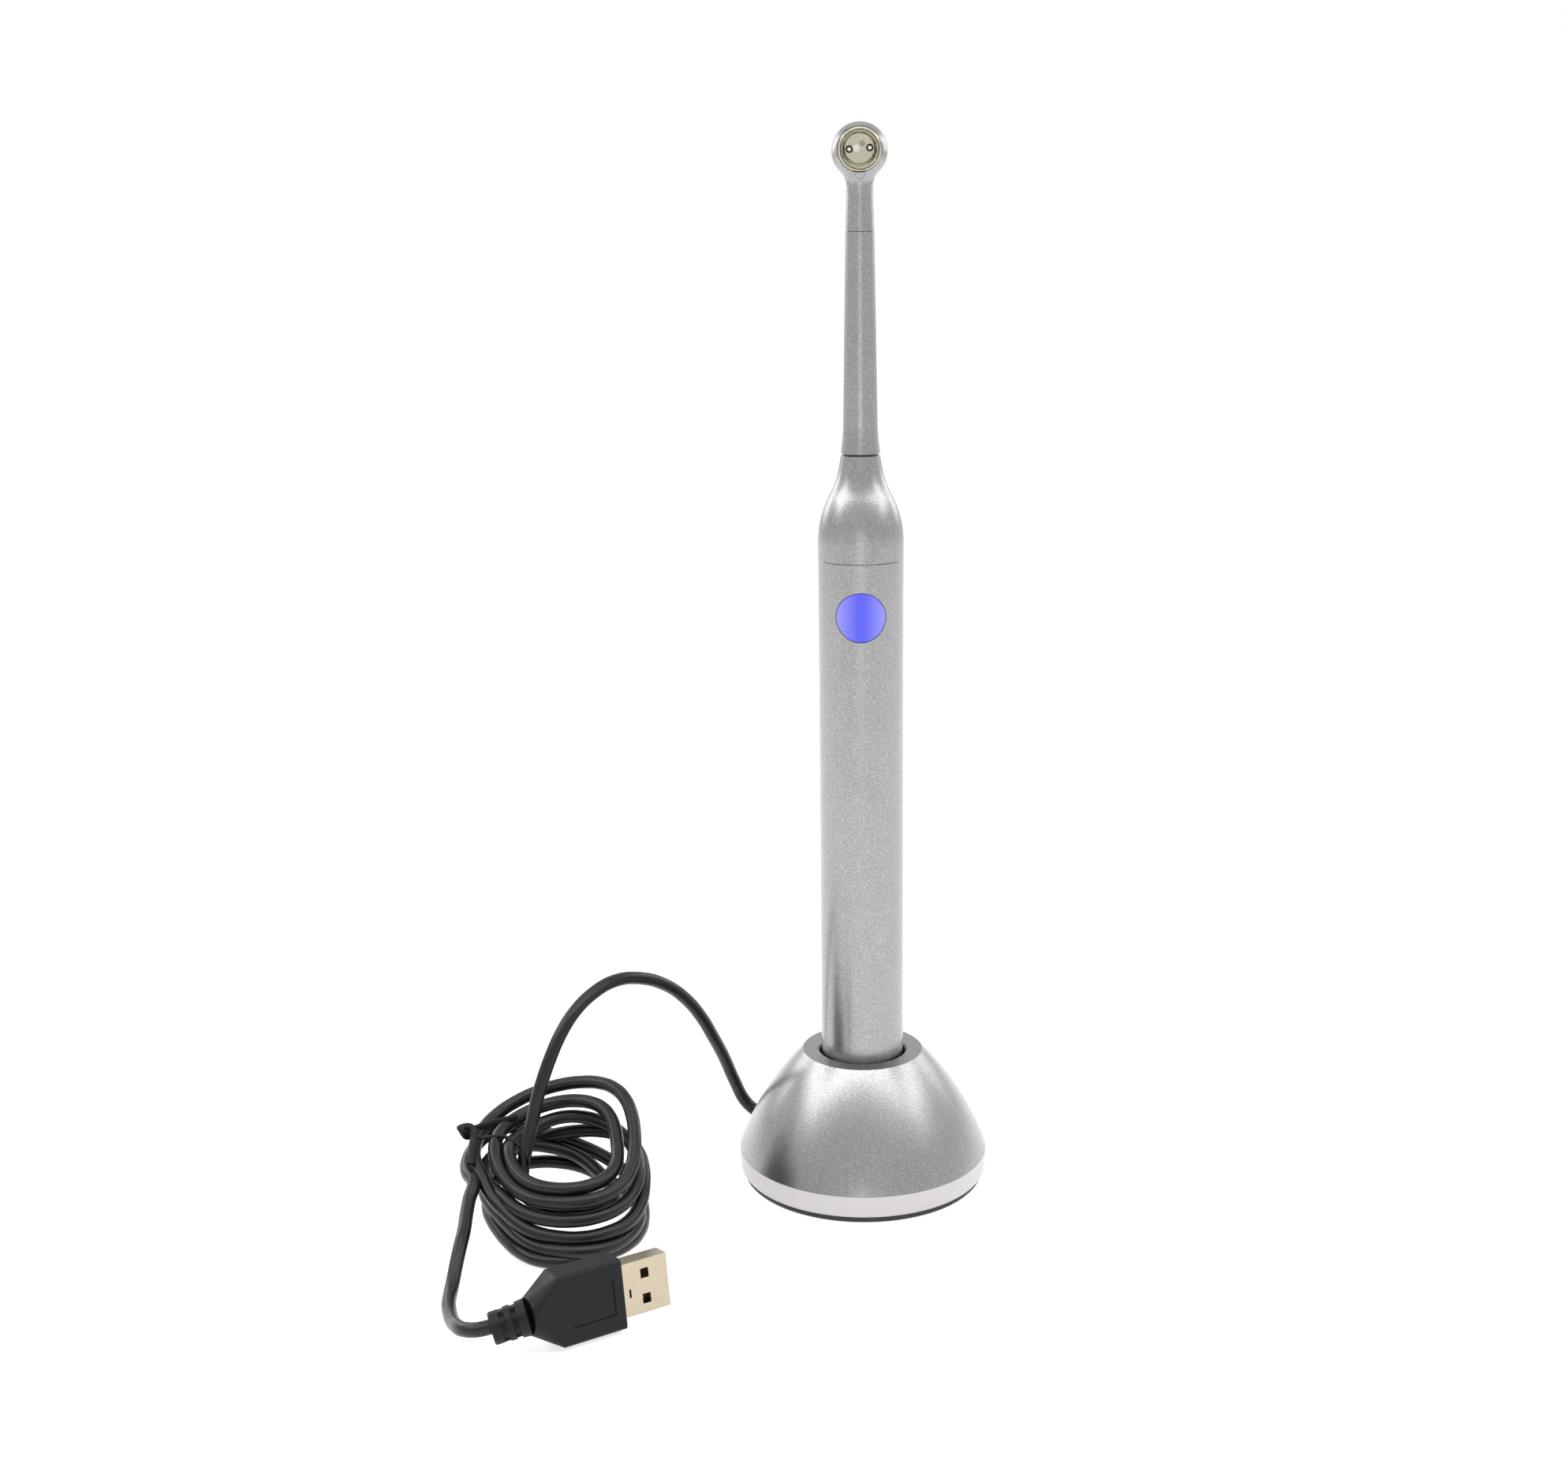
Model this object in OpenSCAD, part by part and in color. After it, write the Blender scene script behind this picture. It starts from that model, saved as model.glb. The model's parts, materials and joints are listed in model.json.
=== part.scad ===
// Pen curing light standing in its charging dock, with the coiled charging cord.
// Millimetres, +Z up. Origin: centre of the dock's foot on the table.
// The lamp faces -Y and the cord leaves the dock at its back left.

/* [Dock] */
// Height of the dock above the table
dock_h = 33.2; // [30:0.1:38]
// Radius of the flat ring round the dock's mouth
dock_top_r = 14.9; // [14.2:0.1:16]
// Radius of the dock where the cone meets the base ring
dock_base_r = 31.1; // [30:0.1:34]
// How far the cone swells out of a straight line
dock_swell = 1.6; // [0.8:0.05:2]
// Wall of the dock's metal shell
dock_wall = 1.8; // [1.4:0.1:2.2]
// Width of the funnel round the mouth
mouth_chamfer = 0.5; // [0.3:0.1:1.4]
// Height of the seam between the cone and the base ring
seam_z = 7.3; // [6.6:0.1:7.8]
// Height of the rubber foot
foot_h = 1.7; // [1.2:0.1:2]
// How far the rubber foot stands in from the base ring
foot_inset = 0.9; // [0.6:0.1:1.4]
// Width of the foot's ring
foot_ring_w = 5.6; // [4:0.1:7]
// How far the base ring tapers in towards the table
ring_taper = 0.25; // [0.1:0.05:0.8]
// Thickness of the steel base plate
plate_t = 1.5; // [1.2:0.1:1.8]
// Height of the top of the ballast ring
ballast_top = 12.4; // [10:0.1:13]

/* [Socket] */
// Height of the socket's floor, where the handpiece stands
floor_z = 11.0; // [10.6:0.1:12]
// Wall of the socket cup
cup_wall = 1.4; // [1.2:0.1:1.8]
// Thickness of the cup's floor
cup_floor_t = 1.8; // [1.6:0.1:2]
// Gap between the handpiece and the socket
socket_clear = 0.45; // [0.35:0.05:0.6]

/* [Handpiece] */
// Outer radius of the barrel
barrel_r = 10.2; // [10:0.05:10.4]
// Wall of the barrel
barrel_wall = 1.2; // [1:0.05:1.3]
// Height of the seam between barrel and shoulder
shoulder_z = 157; // [155:0.5:159]
// Height where the shoulder starts to draw in
bend_z = 161.1; // [160:0.1:162]
// Radius of the shoulder's outward bend
bend_r = 23.5; // [23:0.1:24]
// Radius of the shoulder's hollow bend
hollow_r = 20.6; // [20:0.1:21]
// Steepest angle of the shoulder
shoulder_angle = 28.6; // [28:0.1:29]
// Angle of the cone that ends the shoulder
throat_angle = 9.2; // [9:0.1:10]
// Height of the top of the shoulder, at the swivel
swivel_z = 181.5; // [180.5:0.1:182]
// Visible gap between shoulder and neck
swivel_gap = 0.45; // [0.35:0.05:0.6]
// Wall of the shoulder at its thinnest
shoulder_wall = 1.2; // [1:0.1:1.4]

/* [Neck and head] */
// Radius of the neck just above the swivel
neck_foot_r = 4.65; // [4.4:0.05:4.7]
// Radius of the neck above its flared foot
neck_low_r = 4.06; // [3.9:0.02:4.2]
// Length of the flared foot
neck_flare_h = 6.4; // [5:0.1:8]
// Radius of the neck at its seam
neck_seam_r = 3.33; // [3.25:0.02:3.4]
// Distance from the middle of the head down to the seam in the neck
neck_seam_drop = 17.85; // [16:0.05:20]
// Radius of the neck at its thinnest
neck_thin_r = 3.07; // [3:0.01:3.15]
// Height of the middle of the head
head_z = 250.45; // [249:0.05:252]
// Radius of the head's ball
head_r = 6.4; // [6.3:0.05:6.6]
// Radius of the fillet between neck and ball
head_fillet = 4; // [3.6:0.1:4.4]
// Bore that carries the lamp's leads down the neck
lead_bore_r = 1.9; // [1.7:0.05:2]

/* [Lamp] */
// Angle by which the lamp looks down
lamp_tilt = 8; // [0:0.5:10]
// How far the lamp's middle stands over the head's middle
lamp_rise = 0.8; // [0:0.05:0.9]
// Outer radius of the bezel ring
bezel_r = 5.05; // [4.9:0.05:5.1]
// Width of the bezel ring's face
bezel_face_w = 0.82; // [0.7:0.02:0.9]
// How far the bezel stands out of the head's flat
bezel_proud = 0.25; // [0.15:0.05:0.6]
// Radius of the lamp header's raised disc
header_r = 3.3; // [3.1:0.05:3.4]
// Distance between the two lamp pins
pin_pitch = 4.66; // [4.4:0.02:4.7]
// Radius of a lamp pin
lamp_pin_r = 0.42; // [0.35:0.01:0.5]
// Radius of the glass round a lamp pin
seal_r = 0.86; // [0.75:0.01:0.9]

/* [Button] */
// Radius of the push button
button_r = 5.78; // [5.5:0.02:5.9]
// Height of the button's middle
button_z = 144.5; // [143:0.1:146]
// Gap round the button
button_gap = 0.16; // [0.12:0.02:0.24]
// Travel of the button
button_travel = 0.5; // [0.3:0.05:0.6]

/* [Inside the handpiece] */
// Radius of the battery
cell_r = 7; // [6.6:0.1:7]
// Length of the battery
cell_l = 50; // [43:0.5:52]
// Width of the control board
board_w = 16; // [15.6:0.1:16.4]
// Height of the foot of the control board
board_z = 84; // [82:1:95]
// Thickness of a circuit board
board_t = 1.2; // [0.8:0.1:1.4]

/* [Charging contacts] */
// Radius of a contact pin's tip
tip_r = 0.75; // [0.6:0.05:0.85]
// Distance of the outer contact pin from the middle
pin_offset = 5; // [4.8:0.1:5.3]
// Travel of a contact pin
pin_travel = 0.9; // [0.5:0.1:1]

/* [Cord and plug] */
// Diameter of the cord
cord_d = 3.3; // [3.2:0.1:3.6]
// Outer radius of the coil
coil_r = 22.4; // [21:0.1:24]
// Radius of the opening in the coil
coil_hole_r = 10; // [9.4:0.1:10.2]
// Height of the coil
coil_h = 28; // [27:0.1:29]
// Width of the plug's moulded grip
grip_w = 15.8; // [15.4:0.1:16]
// Thickness of the plug's moulded grip
grip_t = 8; // [7:0.1:8.2]
// Length of the grip's straight part
grip_l = 14.5; // [13:0.1:16]
// Length of the grip's tapered part
grip_taper_l = 6.8; // [6:0.1:8]
// Length of the plug's ribbed tail
boot_l = 8; // [7.6:0.1:9]
// Length of the metal shell outside the grip
shell_out = 11.8; // [11:0.1:12.2]

/* [Hidden] */
$fn = 96;
EPS = 0.01;

// Fits inside one body, and the small chamfer that draws a seam
fit = 0.02;
seam_chamfer = 0.14;

// Colours
satin = [0.78, 0.78, 0.79];
pale = [0.80, 0.78, 0.76];
black = [0.07, 0.07, 0.08];
steel = [0.62, 0.62, 0.64];
brass = [0.80, 0.68, 0.42];
nickel = [0.78, 0.74, 0.64];
board_green = [0.10, 0.32, 0.20];
white_nylon = [0.88, 0.88, 0.86];

// Screws, each as its head's radius and height and its shank's radius; a through hole is wider
screw_hole_gap = 0.35;
thread_gap = 0.04;

// Dock
bore_r = barrel_r + socket_clear;
mouth_r = bore_r + mouth_chamfer;
collar_z = dock_h - 3.2;
ring_low_r = dock_base_r - ring_taper;
ring_low_z = foot_h;
ring_wall = 2.2;
plate_r = dock_base_r - ring_wall - 0.3;
foot_r = ring_low_r - foot_inset;
plate_top = foot_h + plate_t;
cup_r = bore_r + cup_wall;
cup_flange_r = cup_r + 1.3;
cup_bottom = floor_z - cup_floor_t;
ballast_in_r = cup_r + 1.2;
ballast_out_r = dock_base_r - 5.6;
base_screw_angles = [80, 200, 320];
base_screw_r = (ballast_in_r + ballast_out_r) / 2;
base_screw_bite = 3.5;
base_screw = [2.6, 1.3, 1.25];
cup_screw_angles = [20, 110, 200, 290];
cup_screw_r = cup_r + 1.1;
cup_ear_t = 1.4;
cup_screw_bite = 1.4;
cup_screw = [1.1, 0.7, 0.66];
cord_angle = 140;
gland_z = plate_top + cord_d / 2 + 0.05;
gland_r = 2.15;
gland_flange_r = 2.5;
gland_out = 2;
gland_in = plate_r - 2.6;

// Charging contacts
board_low = plate_top + 0.6;
board_top = board_low + board_t;
contact_z = floor_z;
contact_t = 1;
pad_r = 2.2;
track_w = 2.4;
housing_r = 1.6;
collar_r = 1.15;
collar_h = 0.8;
collar_low = cup_bottom - 1.5;
spring_low = board_top + 0.4;
pin_places = [[0, 0], [pin_offset, 0]];
pin_hole_gap = 0.1;
post_r = 0.5;

// Handpiece
barrel_in_r = barrel_r - barrel_wall;
cap_flange_h = 2;
cap_spigot_h = 6;
barrel_low = floor_z + cap_flange_h;
shoulder_spigot_h = 6;
bend_end_r = barrel_r - bend_r * (1 - cos(shoulder_angle));
bend_end_z = bend_z + bend_r * sin(shoulder_angle);
hollow_end_r = bend_end_r - hollow_r * (cos(throat_angle) - cos(shoulder_angle));
hollow_end_z = bend_end_z + hollow_r * (sin(shoulder_angle) - sin(throat_angle));
throat_r = hollow_end_r - (swivel_z - hollow_end_z) * tan(throat_angle);

// Swivel
spigot_r = 3;
running = 0.05;
bush_in_r = spigot_r + running;
bush_wall = 0.7;
bush_out_r = bush_in_r + bush_wall;
bush_flange_r = bush_out_r + 0.4;
bush_l = 12.5;
neck_low_z = swivel_z + swivel_gap;
bush_low = swivel_z - bush_l;
clip_t = 0.8;
clip_gap = 0.1;
spigot_low = bush_low - clip_gap - clip_t - 1.4;
spigot_groove_r = 2.5;
o_ring_t = 0.8;
o_ring_z = swivel_z - 3;

// Neck and head
neck_seam_z = head_z - neck_seam_drop;
casting_spigot_r = 2.6;
casting_spigot_h = 6;
fillet_z = head_z - sqrt(pow(head_r + head_fillet, 2) - pow(neck_thin_r + head_fillet, 2));
fillet_x = neck_thin_r + head_fillet;

// Lamp, as distances in front of the lamp's middle
face_d = 0.7 * head_r;
bezel_front = face_d + bezel_proud;
bezel_seat = 2.8;
lamp_bore_r = 4.6;
lamp_back_r = 3.6;
lamp_bore_back = -3.2;
bezel_in_r = bezel_r - bezel_face_w;
window_t = 0.4;
window_front = bezel_front - 0.3;
header_d = 1.8;
header_flange_t = 0.6;
header_rise = 0.5;
header_top = header_d + header_flange_t + header_rise;
bezel_back = header_d + header_flange_t;
slug_back = -0.6;
pin_tail = -1.2;
pin_turn = 3.6;
lead_r = 0.5;
sheath_r = 1.2;
sheath_top = head_z - lamp_bore_r - 1.6;
sheath_low = spigot_low - 3;
lead_groove = [3.2, 0.2, 1.6];
dimple = [0.25, 0.15];

// Button and switch, as distances in front of the axis
hole_r = button_r + button_gap;
flange_front = 6.2;
button_flange_r = 6.35;
button_flange_t = 0.8;
stem_r = 1.6;
board_face = 2.6;
switch_h = 1.8;
plunger_h = 0.5;
stem_tip = board_face + switch_h + plunger_h;
plunger_r = 1.5;
dome_rise = 0.32;
dome_seat = 0.2;
dome_r = 2.1;
plunger_back = board_face + dome_rise + button_travel + 0.08;
switch_w = 6;
guide_in_r = button_flange_r + 0.2;
guide_wall = 0.7;
guide_h = 2.5;

// Chassis, battery and board
chassis_r = barrel_in_r - 0.2;
chassis_in_r = cell_r + 0.3;
chassis_low = barrel_low + cap_spigot_h + 0.3;
chassis_top = shoulder_z - shoulder_spigot_h - 0.5;
bulkhead_t = 1.2;
spring_h = 5;
battery_plate_t = 0.6;
cell_low = chassis_low + bulkhead_t + spring_h;
cell_top = cell_low + cell_l;
board_high = chassis_top - 0.3;
charge_lead_x = 2.4;
charge_lead_y = -(cell_r + 0.35);
charge_lead_r = 0.5;
lead_way_y = 1.6;
tray_in_r = 6.4;
tray_front = board_face - board_t;
tray_low = cell_top + battery_plate_t + bulkhead_t;
board_screw_x = board_w / 2 - 0.8;
board_screw_up = 5;
board_screw_drop = 12;
board_screw_z = [board_z + board_screw_up, button_z - board_screw_drop];
board_screw = [0.8, 0.5, 0.42];
socket_top = button_z - 4.5;
socket_h = 4;
socket_t = 3;
socket_w = 6;
coil_part_up = 14;
coil_part_z = board_z + coil_part_up;
coil_part_r = 3;
coil_part_h = 2.8;
chips_up = [22, 31];
chips_z = [for (up = chips_up) board_z + up];
chip = [5, 1.1, 4];
small_parts_x = [-5.5, 4.3];
small_parts_up = 12;
small_parts_z = board_z + small_parts_up;
small_parts_step = 5;
small_part = [1.2, 0.6, 0.8];

// Cord: the route's points, chosen by hand
cord_way = [cos(cord_angle), sin(cord_angle)];
gland_face = cord_way * (dock_base_r + gland_out);
lead_route = [
    [-27.7, 23, 5.3], [-29.8, 23.9, 6.6], [-31.5, 24.1, 8.5], [-32.6, 23.7, 10.8],
    [-33.5, 22.8, 13.5], [-34.5, 21.7, 16.5], [-35.6, 20.2, 20.3], [-37, 17.9, 24.9],
    [-38.8, 15.1, 30], [-41.2, 12.3, 36],
    [-44.7, 9, 42.2], [-49.5, 4.5, 47.9], [-55.5, -1.6, 52], [-61, -7.6, 53.5], [-65.6, -12.8, 52.3],
    [-69.6, -17.6, 49.4], [-72.6, -21.2, 45.2], [-74.9, -24, 40.3], [-76.7, -26.2, 35.4],
    [-78.1, -27.9, 30.6], [-79.2, -29.5, 25.4], [-80.3, -31.2, 20.8], [-81, -33, 16.9],
    [-81.2, -34.7, 14.2], [-80.8, -36.5, 12.2], [-79.8, -38.3, 10.8], [-78.1, -40.1, 10],
    [-75.9, -41.8, 9.7]
];
tail_route = [
    [-91.9, -40, 14.6], [-92.3, -44, 12.7], [-92.2, -49, 11], [-91.9, -54, 9.6], [-92, -59, 7.8],
    [-92.3, -62.5, 5.4], [-92.5, -66, 3], [-92.5, -69.5, 1.9], [-92.1, -73.5, 1.7], [-91.1, -77.6, 1.8],
    [-89.9, -81.5, 2.4], [-88.5, -85.2, 3.3], [-87.1, -88.3, 4.3], [-86.1, -90.1, 4.9],
    [-84.7, -91.6, 5.5], [-82.9, -92.6, 6], [-81, -93, 6.5]
];
cord_sides = 8;
coil_mid = [-73, -31];
coil_round = 3;
tie_angle = 203;
tie_w = 2.4;
tie_t = 0.9;
tie_clear = 0.1;
tie_in_z = 21;
tie_out_z = 17;
knot = [2.4, 3, 3.4];
knot_turn = 20;
end_r = 0.8;
end_l = 8;

// Plug: it stands on its narrow edge and leans back a little
plug_place = [-53.8, -79, 8.3];
plug_yaw = 34;
plug_lean = 9;
boot_bend = 20;
boot_droop = 10;
shell_w = 12;
shell_t = 4.5;
shell_wall = 0.32;
shell_in = 7;
tongue_t = 1.9;
boot_r = 4.1;
boot_end_r = 3.6;
boot_core_r = 2.7;
boot_yaw = plug_yaw - boot_bend;
boot_way = [cos(boot_yaw) * cos(boot_droop), sin(boot_yaw) * cos(boot_droop), sin(boot_droop)];
boot_start = plug_place - (grip_l + grip_taper_l) * [cos(plug_yaw), sin(plug_yaw), 0];
boot_face = boot_start - boot_l * boot_way;
panel_w = 8;
panel_l = 10.5;
panel_depth = 0.25;
panel_start = 1.8;
window_w = 2.2;
window_l = 2;
window_x = 5.16;
window_z = 2.87;
blade_w = 1;
blade_t = 0.15;
blade_x = 0.6;
blade_pitch = 7 / 3;
blade_clear = 2;

// ---------- Helpers ----------

// Round bar from one point to another
module rod(a, b, r) {
    v = b - a;
    translate(a)
        rotate([0, acos(v[2] / norm(v)), atan2(v[1], v[0])])
            cylinder(h = norm(v), r = r);
}

// Upright tube from one height to another
module tube(r_out, r_in, low, high) {
    translate([0, 0, low])
        difference() {
            cylinder(h = high - low, r = r_out);
            translate([0, 0, -1]) cylinder(h = high - low + 2, r = r_in);
        }
}

// Copies at angles round the axis
module around(angles, r) {
    for (a = angles) rotate([0, 0, a]) translate([r, 0, 0]) children();
}

// Puts a lamp piece in its place: its front towards -Z at first
module at_lamp() {
    translate([0, 0, head_z + lamp_rise]) rotate([lamp_tilt + 90, 0, 0]) children();
}

// Disc that faces the lamp's front, between two distances from the lamp's middle
module lamp_disc(r, back, front, x = 0) {
    at_lamp() rotate([0, 0, pin_turn]) translate([x, 0, back]) cylinder(h = front - back, r = r);
}

// Place of a point of the lamp's leads, at a side and a distance behind the lamp's middle
function behind_lamp(x, d) =
    [x, d * cos(lamp_tilt), head_z + lamp_rise + d * sin(lamp_tilt) + x * sin(pin_turn)];

// Disc that faces the button's front, between two distances from the axis
module button_disc(r, back, front) {
    translate([0, -back, button_z])
        rotate([90, 0, 0]) cylinder(h = front - back, r = r);
}

// Flat segment between the chord a-b and an arc that stands s out of it, to the chord's right
module segment(a, b, s) {
    chord = norm(b - a);
    r = (chord * chord / 4 + s * s) / (2 * s);
    along = (b - a) / chord;
    out = [along[1], -along[0]];
    intersection() {
        translate((a + b) / 2 - out * (r - s)) circle(r = r, $fn = 360);
        polygon([a, b, b + out * 2 * s, a + out * 2 * s]);
    }
}

// Rise of an arc of radius r over its chord, for an arc that turns by angle
function sagitta(r, angle) = r * (1 - cos(angle / 2));

// Pan-head screw with its head's seat at z = 0, the shank going up, and a crossed recess below
module screw(size, shank_l) {
    head_r = size[0];
    head_h = size[1];
    difference() {
        union() {
            translate([0, 0, -head_h]) cylinder(h = head_h, r = head_r, $fn = 32);
            cylinder(h = shank_l, r = size[2], $fn = 32);
        }
        for (a = [0, 90])
            rotate([0, 0, a])
                translate([-head_r * 0.6, -head_r * 0.13, -head_h - 1])
                    cube([head_r * 1.2, head_r * 0.26, 1 + head_h * 0.5]);
    }
}

// Cord sweep: rings of points carried along a route
function unit(v) = v / norm(v);
function heading(p, i) = unit(p[min(i + 1, len(p) - 1)] - p[max(i - 1, 0)]);
function beside(p, i) =
    i == 0 ? unit(cross(heading(p, 0), abs(heading(p, 0)[2]) > 0.9 ? [0, 1, 0] : [0, 0, 1]))
    : let (t = heading(p, i), s = beside(p, i - 1)) unit(s - (s * t) * t);

module cord_tube(p, d, n) {
    points = [
        for (i = [0 : len(p) - 1])
            let (t = heading(p, i), s = beside(p, i), u = cross(t, s))
                for (k = [0 : n - 1]) p[i] + (cos(k * 360 / n) * s + sin(k * 360 / n) * u) * d / 2
    ];
    last = (len(p) - 1) * n;
    faces = concat(
        [[for (k = [0 : n - 1]) k]],
        [for (i = [0 : len(p) - 2], k = [0 : n - 1])
            [i * n + k, (i + 1) * n + k, (i + 1) * n + (k + 1) % n]],
        [for (i = [0 : len(p) - 2], k = [0 : n - 1])
            [i * n + k, (i + 1) * n + (k + 1) % n, i * n + (k + 1) % n]],
        [[for (k = [n - 1 : -1 : 0]) last + k]]
    );
    polyhedron(points, faces);
}

// Coil spring standing on z = 0, from one mean radius to another
module spring(r_low, r_top, h, turns, wire_r) {
    steps = 12;
    n = steps * turns;
    route = [
        for (i = [0 : n])
            let (r = r_low + (r_top - r_low) * i / n)
                [r * cos(i * 360 / steps), r * sin(i * 360 / steps), wire_r + (h - 2 * wire_r) * i / n]
    ];
    cord_tube(route, 2 * wire_r, 6);
}

// ---------- Dock ----------

// Outline of the cone's outside, moved in by a wall, between two heights
module cone_outline(inset, low, top) {
    a = [dock_base_r, seam_z];
    b = [dock_top_r, dock_h];
    chord = norm(b - a);
    r = (chord * chord / 4 + dock_swell * dock_swell) / (2 * dock_swell);
    along = (b - a) / chord;
    out = [along[1], -along[0]];
    intersection() {
        translate((a + b) / 2 - out * (r - dock_swell)) circle(r = r - inset, $fn = 360);
        translate([0, low]) square([dock_base_r, top - low]);
    }
}

module dock_shell() {
    color(satin)
        difference() {
            rotate_extrude()
                difference() {
                    cone_outline(0, seam_z, dock_h);
                    cone_outline(dock_wall, seam_z - 1, collar_z);
                    // mouth: a straight bore under a funnel
                    translate([0, collar_z - 1]) square([bore_r, dock_h]);
                    polygon([
                        [0, dock_h - mouth_chamfer], [bore_r, dock_h - mouth_chamfer],
                        [mouth_r, dock_h + EPS], [0, dock_h + EPS]
                    ]);
                }
            around(cup_screw_angles, cup_screw_r)
                translate([0, 0, collar_z - 1])
                    cylinder(h = 1 + cup_screw_bite + 0.3, r = cup_screw[2] + thread_gap, $fn = 32);
        }
}

module base_ring() {
    color(pale)
        difference() {
            rotate_extrude()
                difference() {
                    union() {
                        polygon([
                            [plate_r - 1.5, plate_top], [plate_r + 0.1, plate_top],
                            [plate_r + 0.1, ring_low_z], [ring_low_r - 0.5, ring_low_z],
                            [ring_low_r, ring_low_z + 0.6],
                            [dock_base_r, seam_z - 1.6], [dock_base_r, seam_z - seam_chamfer],
                            [dock_base_r - seam_chamfer, seam_z], [plate_r - 1.5, seam_z]
                        ]);
                        // spigot that centres the cone
                        translate([plate_r - 1.5, seam_z - EPS])
                            square([dock_base_r - dock_wall - 0.9 - plate_r + 1.5, 1.2]);
                    }
                    translate([0, foot_h]) square([plate_r - 1.4, seam_z]);
                }
            rotate([0, 0, cord_angle])
                translate([plate_r - 4, 0, gland_z])
                    rotate([0, 90, 0]) cylinder(h = dock_base_r, r = gland_r);
        }
}

module base_plate() {
    color(steel)
        difference() {
            translate([0, 0, foot_h]) cylinder(h = plate_t, r = plate_r);
            around(base_screw_angles, base_screw_r)
                translate([0, 0, foot_h - 1])
                    cylinder(h = plate_t + 2, r = base_screw[2] + screw_hole_gap);
            // notch under the cord gland
            rotate([0, 0, cord_angle])
                translate([gland_in - 0.3, -gland_flange_r, foot_h - 1])
                    cube([6, 2 * gland_flange_r, 4]);
        }
}

module rubber_foot() {
    color(black)
        rotate_extrude()
            polygon([
                [foot_r - foot_ring_w, 0], [foot_r - 0.5, 0], [foot_r, 0.5],
                [foot_r, foot_h], [foot_r - foot_ring_w, foot_h]
            ]);
}

module ballast_ring() {
    color(steel)
        difference() {
            rotate_extrude()
                polygon([
                    [ballast_in_r, plate_top], [ballast_out_r, plate_top],
                    [ballast_out_r, ballast_top - 1.4], [ballast_out_r - 1.4, ballast_top],
                    [ballast_in_r, ballast_top]
                ]);
            around(base_screw_angles, base_screw_r)
                translate([0, 0, plate_top - 1])
                    cylinder(h = base_screw_bite + 2, r = base_screw[2] + thread_gap);
            // slot for the cord
            rotate([0, 0, cord_angle])
                translate([0, -cord_d / 2 - 0.6, plate_top - 1])
                    cube([dock_base_r, cord_d + 1.2, board_top + cord_d + 0.8 - plate_top + 1]);
        }
}

module base_screws() {
    color(steel)
        around(base_screw_angles, base_screw_r)
            translate([0, 0, foot_h]) screw(base_screw, plate_t + base_screw_bite);
}

module socket_cup() {
    color(black)
        difference() {
            union() {
                tube(cup_r, bore_r, cup_bottom, collar_z);
                translate([0, 0, cup_bottom]) cylinder(h = cup_floor_t, r = bore_r + EPS);
                tube(cup_flange_r, bore_r, collar_z - cup_ear_t, collar_z);
                around(cup_screw_angles, cup_screw_r)
                    translate([0, 0, collar_z - cup_ear_t]) cylinder(h = cup_ear_t, r = 1.6, $fn = 32);
            }
            translate([0, 0, floor_z]) cylinder(h = dock_h, r = bore_r);
            for (p = pin_places)
                translate([p[0], p[1], cup_bottom - 1]) cylinder(h = 5, r = tip_r + pin_hole_gap);
            around(cup_screw_angles, cup_screw_r)
                translate([0, 0, collar_z - 3])
                    cylinder(h = 4, r = cup_screw[2] + thread_gap, $fn = 32);
        }
}

module cup_screws() {
    color(steel)
        around(cup_screw_angles, cup_screw_r)
            translate([0, 0, collar_z - cup_ear_t]) screw(cup_screw, cup_ear_t + cup_screw_bite);
}

module dock_board() {
    color(board_green)
        union() {
            translate([0, 0, board_low]) cylinder(h = board_t, r = cup_r - 0.4);
            for (a = [60, 180, 300])
                rotate([0, 0, a])
                    translate([cup_r - 2.4, 0, plate_top])
                        cylinder(h = board_low - plate_top + EPS, r = 1.2);
        }
}

// Two sleeves joined by a web; a post inside each spring stops the pin's travel
module pin_housing() {
    color(black)
        union() {
            difference() {
                union() {
                    for (p = pin_places)
                        translate([p[0], p[1], board_top])
                            cylinder(h = cup_bottom - board_top, r = housing_r);
                    translate([0, -0.7, board_top]) cube([pin_offset, 1.4, cup_bottom - board_top]);
                }
                for (p = pin_places) {
                    translate([p[0], p[1], spring_low])
                        cylinder(h = cup_bottom - spring_low - 0.5, r = collar_r + pin_hole_gap);
                    translate([p[0], p[1], collar_low])
                        cylinder(h = cup_bottom, r = tip_r + pin_hole_gap);
                }
            }
            for (p = pin_places)
                translate([p[0], p[1], spring_low - EPS])
                    cylinder(h = collar_low - pin_travel - spring_low - 0.04, r = post_r, $fn = 32);
        }
}

// One sprung contact: a collar under a long tip
module contact_pin(place) {
    color(brass)
        translate([place[0], place[1], 0]) {
            translate([0, 0, collar_low]) cylinder(h = collar_h, r = collar_r);
            rotate_extrude()
                polygon([
                    [0, collar_low + EPS], [tip_r, collar_low + EPS], [tip_r, contact_z - 0.3],
                    [tip_r - 0.3, contact_z], [0, contact_z]
                ]);
        }
}

module contact_pin_centre() {
    contact_pin(pin_places[0]);
}

module contact_pin_outer() {
    contact_pin(pin_places[1]);
}

// Spring under a contact pin's collar
module pin_spring(place) {
    color(steel)
        translate([place[0], place[1], spring_low])
            spring(collar_r - 0.25, collar_r - 0.25, collar_low - spring_low, 4, 0.14);
}

module pin_spring_centre() {
    pin_spring(pin_places[0]);
}

module pin_spring_outer() {
    pin_spring(pin_places[1]);
}

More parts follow.
